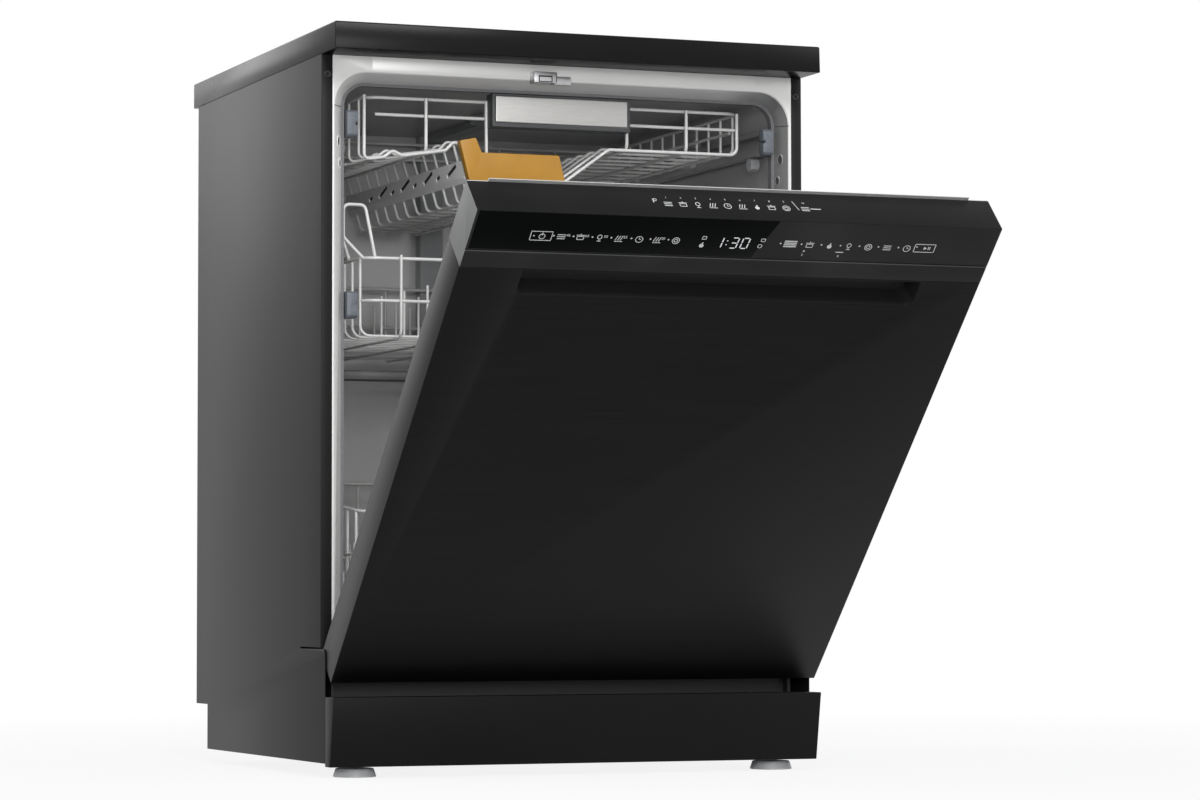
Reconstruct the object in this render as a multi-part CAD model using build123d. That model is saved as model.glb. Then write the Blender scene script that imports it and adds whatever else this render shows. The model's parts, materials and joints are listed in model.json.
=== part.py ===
from build123d import *
import math
import os

# Free-standing dishwasher, 600 mm class, millimetres. The sizes below are in the cabinet's frame:
# x across, y from the worktop's front edge to the rear, z up from the floor the feet stand on.
machine_height = 850.0
worktop_width = 598.0
worktop_depth = 590.0
worktop_thickness = 31.0
worktop_draft = 1.5
worktop_edge = 1.2

# Side panels, rear panel, plinth and base
panel_sheet = 1.0
panel_inset = 0.5
panel_front = 54.0
panel_back = 570.0
panel_bottom = 16.0
panel_flange = 12.0
panel_wing_front = 37.0
panel_wing_top = 144.0
panel_slit = 2.0
panel_slit_length = 77.0
panel_wing_radius = 8.0
rear_notch_depth = 50.0
rear_notch_height = 71.0
rear_sheet = 1.0
plinth_top = 90.7
plinth_bottom = 12.4
plinth_front = 3.8
plinth_rake = 14.0
plinth_wall = 3.0
base_plate_bottom = 18.0
base_plate = 4.0
base_wall = 4.0
base_wall_space = 13.5
foot_inset = 41.5
foot_front = 57.0
foot_rear = 470.0
foot_radius = 25.0
foot_pad = 10.0
foot_taper = 18.0
foot_stem_radius = 5.0
foot_stem_top = 64.0
foot_boss_radius = 11.0
foot_boss_top = 52.0
thread_clearance = 0.3
seat_gap = 0.3
round_sides = 8
disc_sides = 14
door_side_gap = 0.5

# Tub
tub_side_space = 27.5
tub_depth = 500.0
tub_floor_top = 152.0
roof_drop = 60.0
tub_sheet = 1.5
tub_radius = 28.0
frame_sheet = 2.0
frame_sill = 6.0
gasket_height = 3.5
gasket_width = 10.0
strip_margin = 32.0
strip_step = 0.6
mouth_edge = 2.0
mouth_rise = 11.0
mouth_radius = 40.0
mouth_depth = 16.0

# Water works
sump_radius = 112.0
sump_depth = 78.0
sump_wall = 3.0
post_radius = 14.0
arm_reach = 225.0
arm_width = 52.0
arm_thickness = 11.0
arm_tip_share = 0.7
arm_taper = 14.0
lower_arm_bottom = 160.0
upper_arm_drop = 37.0
filter_radius = 39.0
filter_offset_x = 57.0
filter_offset_y = -40.0
filter_depth = 52.0
filter_knob = 4.0
salt_x = -178.0
salt_y = 200.0
salt_radius = 34.0
salt_neck_radius = 31.0
salt_neck_wall = 3.0
salt_cap_height = 5.5
salt_grip_half = 5.0
grip_share = 0.8
softener_width = 110.0
softener_depth = 140.0
softener_height = 72.0
pump_radius = 45.0
pump_length = 130.0
pump_x = 60.0
pump_volute = 24.0
volute_share = 0.8
pump_wall = 10.0
pump_stand_half = 20.0
drain_radius = 26.0
drain_length = 70.0
drain_pump_x = -80.0
drain_cover = 18.0
drain_cover_radius = 33.8
drain_stand_half = 14.0
works_gap = 2.0
valve_half = 22.0
valve_depth = 46.0
valve_rise = 26.0
sprayer_height = 9.0
pipe_width = 30.0
pipe_depth = 19.0
inlet_radius = 13.2
inlet_length = 14.0
inlet_collar_radius = 18.0
drain_spigot_radius = 10.0
drain_spigot_length = 25.0
inlet_x = -220.0
drain_x = 150.0
fitting_z = 48.0

# Door, drawn closed
door_front = 5.0
door_bottom = 124.0
door_top_drop = 38.6
door_depth = 46.6
door_sheet = 1.0
door_angle = 45.0
hinge_y = 33.6
hinge_z = 134.1
console_length = 75.4
strip_length = 22.8
console_wall = 3.5
console_groove = 1.0
glass_thickness = 1.6
glass_gap = 0.2
glass_slant_top = 39.0
glass_slant_bottom = 20.0
recess_margin = 70.0
recess_height = 34.0
recess_gap = 2.0
recess_depth = 27.0
recess_radius = 10.0
pocket_wall = 3.0
liner_sheet = 1.0
liner_rise = 3.6
liner_top_margin = 24.0
dish_margin = 24.0
dish_low = 200.0
dish_top_drop = 51.4
dish_press = 3.5
dish_radius = 30.0
hinge_clear_margin = 22.0
hinge_clear_top = 172.0
dispenser_x = 96.0
dispenser_drop = 28.0
dispenser_width = 176.0
dispenser_height = 142.0
dispenser_depth = 30.0
lid_width = 84.0
lid_height = 92.0
lid_thickness = 3.0
lid_margin = 8.0
lid_seat = 6.0
lid_grip_half = 16.0
lid_grip_drop = 14.0
lid_grip_height = 5.0
cap_radius = 21.0
cap_margin = 14.0
cap_grip_rise = 6.0
pin_radius = 4.0
pin_clearance = 0.05
hinge_plate = 3.0
hinge_nose = 9.0
hinge_arm_length = 166.0
hinge_bracket_back = 130.0
latch_x = -32.0
latch_half = 20.0
latch_drop = 16.0
latch_roof = 1.2
latch_side = 20.0
latch_cut_depth = 18.0
latch_depth = 30.0
latch_height = 26.0
latch_mouth = 12.0
latch_reach = 22.0
latch_lip = 8.0
strike_half = 14.0
strike_depth = 14.0
strike_bar = 3.0
strike_foot = 22.0
board_left = 200.0
board_right = 60.0
board_half = 18.0
board_stand = 5.0
board_sheet = 2.0
board_post = 4.0
hinge_fold_start = 50.0
hinge_arm_half = 8.0
spring_length = 180.0
spring_height = 40.0
spring_hook = 4.0
spring_clear = 1.5

# Racks
wire = 4.0
wire_sides = 4
wire_join = 0.3
weld_gap = 0.05
rail_outer_gap = 4.5
rail_width = 12.0
rail_height = 28.0
rail_sheet = 1.4
rail_lip = 5.0
rail_start = 75.0
rail_length = 455.0
stop_length = 14.0
stop_lip = 1.5
roller_width = 6.0
roller_front = 305.0
roller_back = 488.0
guide_radius = 8.0
guide_axle_radius = 3.0
guide_axle_gap = 0.9
guide_front = 35.0
guide_back = 215.0
third_rail_drop = 48.0
middle_rail_drop = 255.0
rack_gap = 18.5
rack_front = 93.0
rack_back = 528.0
third_top_drop = 15.0
third_second_drop = 18.0
third_left_depth = 70.0
third_right_depth = 47.0
trough_depth = 120.0
trough_left_top = -122.0
trough_left = -100.0
trough_right = -25.0
slope_end = 66.0
third_pitch = 73.0
insert_thickness = 2.5
insert_slot_count = 8
slot_width = 5.0
slot_turn = 35.0
handle_half = 86.0
handle_drop = 28.0
handle_rise = 11.0
handle_depth = 22.0
handle_wall = 2.5
plate_half = 82.0
plate_margin_low = 5.5
plate_margin_high = 3.0
plate_thickness = 2.0
tab_left = -124.0
tab_right = 3.0
tab_lift = 29.0
tab_height = 33.0
tab_peak_height = 50.0
tab_depth = 12.0
tab_foot = 12.0
tab_slant = 4.0
tab_crest = 20.0
tab_notch = 7.0
tab_corner = 2.5
middle_floor_drop = 35.0
middle_height = 92.0
middle_second_height = 43.0
middle_tine_height = 66.0
middle_tine_margin = 94.0
tine_count = 4
floor_run_count = 5
basket_bar_count = 6
end_bar_count = 5
shelf_height = 53.0
shelf_lean = 18.0
shelf_front = 150.0
shelf_back = 470.0
manifold_width = 28.0
manifold_height = 17.0
hub_radius = 22.4
lower_gap = 27.0
lower_front = 80.0
lower_floor = 182.0
lower_rim_front = 300.0
lower_rim_back = 345.0
lower_second = 252.0
lower_tine_top = 268.0
lower_tine_margin = 61.0
lower_bar_count = 7
wheel_radius = 22.0
wheel_width = 9.0
wheel_rim = 5.0
clip_stand = 6.0
clip_half = 24.0
clip_drop = 20.0
wheel_axle_radius = 4.0
wheel_front = 150.0
wheel_back = 470.0

# Places that follow from the sizes above
half_width = worktop_width / 2
worktop_bottom = machine_height - worktop_thickness
panel_outer = half_width - panel_inset
panel_inner = panel_outer - panel_sheet
foot_spread = panel_outer - foot_inset
door_half = panel_inner - door_side_gap
tub_half = panel_inner - tub_side_space
tub_roof = machine_height - roof_drop
strip_half = tub_half - strip_margin
tub_front = panel_front + frame_sheet
tub_back = tub_front + tub_depth
mouth_back = panel_front + mouth_depth
tub_middle = (tub_front + tub_back) / 2
frame_half = panel_inner - panel_flange - seat_gap
mouth_half = frame_half - mouth_edge
mouth_top = tub_roof + mouth_rise
base_wall_outer = panel_inner - base_wall_space
base_top = base_plate_bottom + base_plate
tub_bottom = tub_floor_top - tub_sheet
door_top = machine_height - door_top_drop
door_back = door_front + door_depth
console_bottom = door_top - console_length
liner_back = door_back + liner_sheet
rail_outer = tub_half - rail_outer_gap
rail_inner = rail_outer - rail_width
recess_half = door_half - recess_margin
hinge_clear_half = door_half - hinge_clear_margin
dish_half = tub_half - dish_margin
dish_high = door_top - dish_top_drop
dispenser_z = (dish_low + dish_high) / 2 - dispenser_drop
rack_half = rail_inner - rack_gap
lower_half = tub_half - lower_gap
third_rail_z = tub_roof - third_rail_drop
third_top = tub_roof - third_top_drop
third_second = third_top - third_second_drop
third_left_floor = third_top - third_left_depth
third_right_floor = third_top - third_right_depth
trough_floor = third_top - trough_depth
handle_low = third_top - handle_drop
handle_high = third_top + handle_rise
plate_low = handle_low + plate_margin_low
plate_high = handle_high - plate_margin_high
tab_low = trough_floor + tab_lift
tab_high = tab_low + tab_height
tab_peak = tab_low + tab_peak_height
middle_rail_z = tub_roof - middle_rail_drop
middle_floor = middle_rail_z - middle_floor_drop
middle_rim = middle_floor + middle_height
middle_second = middle_floor + middle_second_height
middle_tine_top = middle_floor + middle_tine_height
upper_arm_bottom = middle_floor - upper_arm_drop
flat = wire * math.cos(math.pi / wire_sides)
lap = flat - wire_join
wire_end = flat / 2 + seat_gap
door_axis = Axis((0, hinge_y, hinge_z), (1, 0, 0))
door_reach = hinge_y + (door_front - hinge_y) * math.cos(math.radians(door_angle)) \
    - (door_top - hinge_z) * math.sin(math.radians(door_angle))
frame_shift = (door_reach + worktop_depth) / 2


def block(x, y, z):
    """A box from its low and high ends along x, y and z."""
    centre = [(low + high) / 2 for low, high in (x, y, z)]
    size = [high - low for low, high in (x, y, z)]
    return Pos(*centre) * Box(*size)


def across(half):
    return (-half, half)


def both(solid):
    """A solid on the right-hand side and its mirror image on the left."""
    return [solid, mirror(solid, about=Plane.YZ)]


def prism_x(points, x):
    """An outline in the y, z plane, run from one x to another."""
    face = Plane.YZ * Polygon(*points, align=None)
    return Pos(x[0], 0, 0) * extrude(face, amount=x[1] - x[0], dir=(1, 0, 0))


def prism_y(face, y):
    """A face drawn in the x, z plane, run from one y to another."""
    return Pos(0, y[0], 0) * extrude(Plane.XZ * face, amount=y[1] - y[0], dir=(0, 1, 0))


def rod_x(radius, x, y, z, sides=round_sides):
    """A bar along x: many-sided, or truly round with no sides, as a fit needs."""
    section = RegularPolygon(radius, sides) if sides else Circle(radius)
    return Pos(x[0], y, z) * Rot(0, 90, 0) * extrude(section, amount=x[1] - x[0])


def rod_y(radius, x, y, z, sides=round_sides):
    section = RegularPolygon(radius, sides) if sides else Circle(radius)
    return Pos(x, y[0], z) * Rot(-90, 0, 0) * extrude(section, amount=y[1] - y[0])


def rod_z(radius, x, y, z, sides=round_sides):
    section = RegularPolygon(radius, sides) if sides else Circle(radius)
    return Pos(x, y, z[0]) * extrude(section, amount=z[1] - z[0])


def turning_hole(radius):
    """The corner radius of a many-sided hole that a bar of this radius can turn in."""
    return (radius + seat_gap) / math.cos(math.pi / round_sides)


def save(node, shape, open_door=False):
    """Write one node, shifted so that the origin lies under the middle of the part."""
    solids = list(shape) if isinstance(shape, (list, tuple)) else [shape]
    whole = Compound(children=[solid for piece in solids for solid in piece.solids()])
    if open_door:
        whole = whole.rotate(door_axis, door_angle)
    export_step(Pos(0, -frame_shift, 0) * whole, f"parts/{node}.step")


def spread(first, last, count):
    return [first + (last - first) * step / (count - 1) for step in range(count)]


def worktop():
    outline = [(0, worktop_bottom), (worktop_depth, worktop_bottom), (worktop_depth, machine_height),
               (worktop_draft, machine_height)]
    slab = prism_x(outline, across(half_width))
    return chamfer(slab.faces().sort_by(Axis.Z)[-1].edges(), worktop_edge)


def side_panel():
    back_low = panel_back - rear_notch_depth
    outline = [(panel_wing_front, panel_bottom), (back_low, panel_bottom), (back_low, rear_notch_height),
               (panel_back, rear_notch_height), (panel_back, worktop_bottom), (panel_front, worktop_bottom),
               (panel_front, panel_wing_top), (panel_wing_front, panel_wing_top)]
    sheet = prism_x(outline, (panel_inner, panel_outer))
    wing = (panel_inner, panel_wing_front, panel_wing_top)
    corner = sheet.edges().filter_by(Axis.X).sort_by_distance(wing)[0]
    sheet = fillet(corner, panel_wing_radius)
    slit = block((panel_inner - panel_sheet, panel_outer + panel_sheet),
                 (panel_front - panel_sheet, panel_front + panel_slit_length),
                 (panel_wing_top, panel_wing_top + panel_slit))
    turned = (panel_inner - panel_flange, panel_inner)
    front_fold = block(turned, (panel_front, panel_front + panel_sheet),
                       (panel_wing_top + panel_slit, worktop_bottom))
    back_fold = block(turned, (panel_back - panel_sheet, panel_back), (rear_notch_height, worktop_bottom))
    return sheet - slit + [front_fold, back_fold]


def rear_panel():
    face = panel_back - panel_sheet
    low, high = rear_notch_height + panel_flange, worktop_bottom - panel_flange
    middle = (low + high) / 2
    sheet = block(across(panel_inner - seat_gap), (face - rear_sheet, face),
                  (rear_notch_height, worktop_bottom))
    for z in ((low, middle - panel_flange), (middle + panel_flange, high)):
        field = Rectangle(2 * (tub_half - panel_flange), z[1] - z[0])
        field = chamfer(field.vertices(), tub_radius)
        press = Pos(0, 0, (z[0] + z[1]) / 2) * prism_y(field, (face - rear_sheet, face))
        dent = Pos(0, 0, (z[0] + z[1]) / 2) * prism_y(field, (face - 3 * rear_sheet, face - 2 * rear_sheet))
        rim = offset(field, amount=rear_sheet, kind=Kind.INTERSECTION)
        wall = prism_y(rim - field, (face - 3 * rear_sheet, face - rear_sheet / 2))
        wall = Pos(0, 0, (z[0] + z[1]) / 2) * wall
        sheet = sheet - press + [wall, dent]
    return sheet


def plinth():
    back = panel_wing_front - seat_gap
    outline = [(plinth_front, plinth_top), (back, plinth_top), (back, plinth_bottom),
               (plinth_front + plinth_rake, plinth_bottom)]
    hollow = [(plinth_front + plinth_wall, plinth_top - plinth_wall),
              (back + plinth_wall, plinth_top - plinth_wall),
              (back + plinth_wall, plinth_bottom - plinth_wall),
              (plinth_front + plinth_rake + plinth_wall, plinth_bottom - plinth_wall)]
    return prism_x(outline, across(panel_outer)) - prism_x(hollow, across(panel_outer - plinth_wall))


def foot_places():
    return {"foot_front_left": (-foot_spread, foot_front), "foot_front_right": (foot_spread, foot_front),
            "foot_rear": (0, foot_rear)}


def base_tray():
    back = base_back()
    tray = block(across(panel_inner - seat_gap), (panel_wing_front + seat_gap, back),
                 (base_plate_bottom, base_top))
    walls = both(block((base_wall_outer - base_wall, base_wall_outer), (tub_front + base_wall, back),
                       (base_top, tub_bottom)))
    walls.append(block(across(base_wall_outer), (back - base_wall, back), (base_top, tub_bottom - base_wall)))
    walls.append(block(across(base_wall_outer), (tub_front + 4 * base_wall, tub_front + 5 * base_wall),
                       (base_top, tub_bottom - base_wall)))
    bosses = [rod_z(foot_boss_radius, x, y, (base_top, foot_boss_top)) for x, y in foot_places().values()]
    holes = [rod_z(foot_stem_radius + thread_clearance, x, y, (0, foot_boss_top + base_plate))
             for x, y in foot_places().values()]
    inlet_hole = rod_y(turning_hole(inlet_collar_radius), inlet_x,
                       (back - 2 * base_wall, back + base_wall), fitting_z)
    spigot = rod_y(drain_spigot_radius, drain_x, (back, back + drain_spigot_length), fitting_z, 0)
    return tray + walls + bosses + spigot - holes - inlet_hole


def foot(x, y):
    pad = Pos(x, y, 0) * extrude(RegularPolygon(foot_radius, disc_sides), amount=foot_pad, taper=foot_taper)
    stem = rod_z(foot_stem_radius, x, y, (foot_pad, foot_stem_top))
    return pad + stem


def arch(half, low, high, radius):
    """A door-shaped face: square at the bottom, round at the two top corners."""
    face = Pos(0, (low + high) / 2) * Rectangle(2 * half, high - low)
    return fillet(face.vertices().sort_by(Axis.Y)[-2:], radius)


def tub_wrap():
    outside = arch(tub_half + tub_sheet, tub_bottom, tub_roof + tub_sheet, tub_radius + tub_sheet)
    inside = arch(tub_half, tub_bottom - tub_sheet, tub_roof, tub_radius)
    return prism_y(outside - inside, (mouth_back, tub_back))


def tub_rear_wall():
    outside = arch(tub_half + tub_sheet, tub_bottom, tub_roof + tub_sheet, tub_radius + tub_sheet)
    return prism_y(outside, (tub_back, tub_back + tub_sheet))


def tub_floor():
    plate = block(across(tub_half), (tub_front, tub_back), (tub_bottom, tub_floor_top))
    through = (tub_bottom - tub_sheet, tub_floor_top + tub_sheet)
    salt_hole = rod_z(salt_neck_radius + seat_gap, salt_x, salt_y, through)
    sump_hole = rod_z(sump_radius, 0, tub_middle, through, disc_sides)
    return plate - [salt_hole, sump_hole]


def mouth(grow):
    """The tub's mouth: a large arch in front that draws in to the tub's own arch behind."""
    low = tub_floor_top + seat_gap
    front = arch(mouth_half + grow, low, mouth_top + grow, mouth_radius + grow)
    back = arch(tub_half + grow, low, tub_roof + grow, tub_radius + grow)
    return loft([Plane.XZ.offset(-panel_front) * front, Plane.XZ.offset(-mouth_back) * back], ruled=True)


def tub_front_frame():
    low, high = tub_floor_top - frame_sill, worktop_bottom - seat_gap
    face = Pos(0, (low + high) / 2) * Rectangle(2 * frame_half, high - low)
    strip = block(across(strip_half), (panel_front - strip_step, panel_front),
                  (mouth_top + frame_sheet, high))
    sill = block(across(mouth_half), (panel_front, tub_front), (low, tub_floor_top + 2 * seat_gap))
    ring = prism_y(face, (panel_front, tub_front)) + mouth(tub_sheet) + strip
    return ring - mouth(0) + sill


def door_gasket():
    outer = arch(tub_half - seat_gap / 3, tub_floor_top + seat_gap, tub_roof - seat_gap / 3, tub_radius)
    inner = arch(tub_half - gasket_height, tub_floor_top - gasket_height, tub_roof - gasket_height,
                 tub_radius - gasket_height)
    return prism_y(outer - inner, (mouth_back, mouth_back + gasket_width))


def door_strike():
    low, high = door_top - latch_drop + 1, door_top - latch_roof - 1
    face = panel_front - strip_step
    loop = block(across(strike_half), (face - strike_depth, face), (low, high)) \
        - block(across(strike_half - strike_bar), (face - strike_depth + strike_bar, face + 1),
                (low - 1, high - strike_bar))
    foot_plate = block((strike_half, strike_half + strike_foot), (face - strike_bar / 2, face),
                       (low, high - strike_bar))
    return Pos(latch_x, 0, 0) * (loop + foot_plate)


def sump():
    top, low = tub_bottom, tub_bottom - sump_depth
    cup = rod_z(sump_radius + sump_wall, 0, tub_middle, (low, top), disc_sides) \
        - rod_z(sump_radius, 0, tub_middle, (low + sump_wall, top + 1), disc_sides)
    post = rod_z(post_radius, 0, tub_middle, (low + sump_wall, lower_arm_bottom - seat_gap))
    return cup + post


def filter_plate():
    disc = rod_z(sump_radius - seat_gap, 0, tub_middle, (tub_bottom - tub_sheet, tub_floor_top), disc_sides)
    holes = [rod_z(post_radius + seat_gap, 0, tub_middle, (0, tub_roof)),
             rod_z(turning_hole(filter_radius), filter_offset_x, tub_middle + filter_offset_y, (0, tub_roof))]
    return disc - holes


def filter_cylinder():
    x, y = filter_offset_x, tub_middle + filter_offset_y
    top = tub_floor_top + seat_gap
    hollow = rod_z(filter_radius - sump_wall, x, y, (top - filter_depth + sump_wall, top + 1))
    cup = rod_z(filter_radius, x, y, (top - filter_depth, top)) - hollow
    bar = block((x - filter_radius + 1, x + filter_radius - 1), (y - sump_wall, y + sump_wall),
                (top - filter_knob, top + filter_knob))
    return cup + bar


def softener_tank():
    roof = base_top + softener_height
    neck = rod_z(salt_neck_radius, salt_x, salt_y, (roof - salt_neck_wall, tub_floor_top))
    tank = block((salt_x - softener_width / 2, salt_x + softener_width / 2),
                 (salt_y - softener_depth / 2, salt_y + softener_depth / 2), (base_top, roof))
    bore = rod_z(salt_neck_radius - salt_neck_wall, salt_x, salt_y, (base_top + softener_height / 2,
                                                                    tub_floor_top + 1))
    return tank + neck - bore


def salt_cap():
    low = tub_floor_top + seat_gap
    cap = rod_z(salt_radius, salt_x, salt_y, (low, low + salt_cap_height / 2))
    grip = block((salt_x - salt_radius * grip_share, salt_x + salt_radius * grip_share),
                 (salt_y - salt_grip_half, salt_y + salt_grip_half),
                 (low, low + salt_cap_height))
    return cap + grip


def circulation_pump():
    y, z = tub_middle + sump_radius + sump_wall + pump_radius + works_gap, base_top + pump_radius
    motor = rod_x(pump_radius, (pump_x, pump_x + pump_length), y, z)
    volute = rod_x(pump_radius * volute_share, (pump_x - pump_volute, pump_x), y, z)
    stand = block((pump_x + pump_wall, pump_x + pump_length - pump_wall),
                  (y - pump_stand_half, y + pump_stand_half), (base_top, z))
    return motor + volute + stand


def drain_pump():
    y = tub_middle + sump_radius + sump_wall + drain_cover_radius + works_gap
    z = base_top + drain_radius
    motor = rod_x(drain_radius, (drain_pump_x - drain_length, drain_pump_x), y, z)
    cover_z = base_top + drain_cover_radius
    cover = rod_x(drain_cover_radius, (drain_pump_x, drain_pump_x + drain_cover), y, cover_z)
    stand = block((drain_pump_x - drain_length, drain_pump_x), (y - drain_stand_half, y + drain_stand_half),
                  (base_top, z))
    return motor + cover + stand


def base_back():
    return panel_back - rear_notch_depth - seat_gap


def inlet_valve():
    back = base_back()
    body = block((inlet_x - valve_half, inlet_x + valve_half),
                 (back - base_wall - valve_depth, back - base_wall), (base_top, fitting_z + valve_rise))
    collar = rod_y(inlet_collar_radius, inlet_x, (back - base_wall, back + seat_gap), fitting_z)
    return body + collar + rod_y(inlet_radius, inlet_x, (back + seat_gap, back + inlet_length), fitting_z, 0)


def feed_pipe():
    back = tub_back - seat_gap
    front = back - pipe_depth
    riser = block(across(pipe_width / 2), (front, back), (tub_floor_top + seat_gap, tub_roof - seat_gap))
    sprayer_low = tub_roof - seat_gap - sprayer_height
    spray_run = block(across(pipe_width / 3), (tub_middle, back), (sprayer_low, tub_roof - seat_gap))
    head = rod_z(pipe_width, 0, tub_middle, (sprayer_low, tub_roof - seat_gap))
    return riser + spray_run + head


def spray_arm(bottom):
    top = bottom + arm_thickness
    nose, root, tip = arm_reach - arm_width / 2, post_radius, arm_width * arm_tip_share / 2
    half = [(0, -arm_width / 2), (nose, -tip), (arm_reach, -tip / 2), (arm_reach, tip / 2), (nose, tip),
            (0, arm_width / 2)]
    blade = Polygon(*half, *[(-x, -y) for x, y in half[1:-1]], align=None)
    arm = Pos(0, tub_middle, bottom) * extrude(blade, amount=arm_thickness, taper=arm_taper)
    hub = rod_z(root + 2 * sump_wall, 0, tub_middle, (bottom, top + sump_wall))
    jets = [block((sign * reach - 4, sign * reach + 4), (tub_middle - 2, tub_middle + 2), (top - 2, top + 1))
            for sign in (-1, 1) for reach in spread(arm_reach / 3, nose, 3)]
    return arm + hub - jets


def wire_rod(start, end, normal):
    """A few-sided wire from one point to another with two of its flats facing the normal."""
    start, end = Vector(*start), Vector(*end)
    run = end - start
    outline = RegularPolygon(wire / 2, wire_sides, rotation=90 - 180 / wire_sides)
    section = Plane(origin=start, x_dir=run.cross(Vector(*normal)), z_dir=run) * outline
    return extrude(section, amount=run.length)


def grille(runs, bars, normal):
    """Wires lying in one plane with bars welded across them on the normal's side."""
    lift = Vector(*normal) * lap
    rods = [wire_rod(start, end, normal) for start, end in runs]
    rods += [wire_rod(Vector(*start) + lift, Vector(*end) + lift, normal) for start, end in bars]
    return rods[0] + rods[1:]


def floor_grille(x, y, z, run_count, bar_count):
    """A level panel: long wires front to back below, cross bars on top of them."""
    runs = [((place, y[0], z), (place, y[1], z)) for place in spread(x[0], x[1], run_count)]
    bars = [((x[0], place, z), (x[1], place, z)) for place in spread(y[0] + wire, y[1] - wire, bar_count)]
    return grille(runs, bars, (0, 0, 1))


def side_grille(x, y, low, rails, bar_count):
    """An upright panel along y: rails given as (front height, back height), and upright bars outside."""
    runs = [((x, y[0], front), (x, y[1], back)) for front, back in rails]
    top_front, top_back = rails[0]
    bars = []
    for place in spread(y[0] + 2 * wire, y[1] - 2 * wire, bar_count):
        top = top_front + (top_back - top_front) * (place - y[0]) / (y[1] - y[0])
        bars.append(((x, place, low), (x, place, top)))
    return grille(runs, bars, (-1 if x < 0 else 1, 0, 0))


def end_grille(x, y, low, rails, bar_places, outward):
    """An upright panel across the machine: level rails with upright bars on the outward side."""
    runs = [((x[0], y, height), (x[1], y, height)) for height in rails]
    bars = [((place, y, low), (place, y, rails[0])) for place in bar_places]
    return grille(runs, bars, (0, outward, 0))


def third_rack_wires():
    y = (rack_front, rack_back)
    count = round((rack_back - rack_front) / third_pitch) + 1
    left, right = -rack_half, rack_half
    inner = wire_end
    panels = [floor_grille((left, trough_left_top), y, third_left_floor, 3, count)]
    panels.append(floor_grille((trough_left, trough_right), y, trough_floor, 2, count))
    panels.append(floor_grille((slope_end, right), y, third_right_floor, 3, count))
    rise = Vector(slope_end - trough_right, 0, third_right_floor - trough_floor)
    normal = Vector(rise.Z, 0, -rise.X).normalized()
    step = rise.normalized() * inner
    foot_point = Vector(trough_right, 0, trough_floor) + step
    head_point = Vector(slope_end, 0, third_right_floor) - step
    point = (foot_point + head_point) / 2
    runs = [((point.X, y[0], point.Z), (point.X, y[1], point.Z))]
    bars = [((foot_point.X, place, foot_point.Z), (head_point.X, place, head_point.Z))
            for place in spread(y[0] + wire, y[1] - wire, count)]
    panels.append(grille(runs, bars, tuple(normal)))
    for x, floor in ((left, third_left_floor), (right, third_right_floor)):
        rims = [(third_top, third_top), (third_second, third_second)]
        panels.append(side_grille(x, y, floor + inner, rims, end_bar_count))
    front_left = (left + inner, -handle_half - inner)
    front_right = (handle_half + inner, right - inner)
    for x, floor in ((front_left, third_left_floor), (front_right, third_right_floor)):
        low = floor + inner
        panels.append(end_grille(x, rack_front, low, [third_top, third_second], spread(x[0], x[1], 3), -1))
    panels.append(end_grille((left + inner, right - inner), rack_back, third_right_floor + inner,
                             [third_top, third_second],
                             spread(left + inner, right - inner, end_bar_count), 1))
    return panels


def cutlery_insert():
    """The slotted plastic wall along the trough's left side, with slots in chevrons."""
    low, high = trough_floor + lap + wire, third_left_floor - flat / 2 - seat_gap
    top_x, foot_x = trough_left_top + wire / 2, trough_left - wire / 2
    outline = [(top_x, high), (top_x + insert_thickness, high),
               (foot_x + insert_thickness, low), (foot_x, low)]
    face = Polygon(*outline, align=None)
    wall = prism_y(face, (rack_front, rack_back))
    pitch = (rack_back - rack_front) / insert_slot_count
    middle_x, middle_z = (top_x + foot_x) / 2, (low + high) / 2
    slots = []
    for step in range(insert_slot_count):
        for sign in (-1, 1):
            slot = Box(2 * (foot_x - top_x), pitch / 2, slot_width)
            place = Pos(middle_x, rack_front + pitch * (step + 1 / 2), middle_z + sign * (high - low) / 4)
            slots.append(place * Rot(-sign * slot_turn, 0, 0) * slot)
    hook = block((trough_left_top - wire, top_x + insert_thickness), (rack_front, rack_back),
                 (high - insert_thickness, high))
    return wall - slots + hook


def third_rack_handle():
    y = (rack_front - handle_depth, rack_front)
    frame = block(across(handle_half), y, (handle_low, handle_high))
    finger = block(across(handle_half - handle_wall), (y[0] + 2 * handle_wall, y[1] - handle_wall),
                   (handle_low - 1, handle_high - handle_wall))
    seat = block(across(plate_half + glass_gap), (y[0] - 1, y[0] + plate_thickness),
                 (plate_low - glass_gap, plate_high + glass_gap))
    return frame - finger - seat


def third_rack_plate():
    front = rack_front - handle_depth
    plate = block(across(plate_half), (front - plate_thickness / 2, front + plate_thickness),
                  (plate_low, plate_high))
    return chamfer(plate.faces().sort_by(Axis.Y)[0].edges(), plate_thickness / 3)


def zone_tab():
    outline = [(tab_left + tab_foot, tab_low), (tab_right + tab_slant, tab_low),
               (tab_right - tab_slant, tab_high), (tab_left + tab_crest + tab_notch, tab_high),
               (tab_left + tab_crest, tab_peak), (tab_left, tab_peak - tab_slant)]
    front = rack_front - tab_depth - lap - flat / 2 - seat_gap
    body = prism_y(Polygon(*outline, align=None), (front, front + tab_depth))
    body = fillet(body.edges().filter_by(Axis.Y), tab_corner)
    clip_x = (trough_left + 2 * wire, trough_right - 2 * wire)
    clip = block(clip_x, (front + tab_depth, rack_front + 3 * wire), (tab_low, tab_low + wire))
    hooks = [block(clip_x, (rack_front + 2 * wire, rack_front + 3 * wire),
                   (trough_floor + flat / 2 + lap + seat_gap, tab_low))]
    return body + clip + hooks


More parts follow.
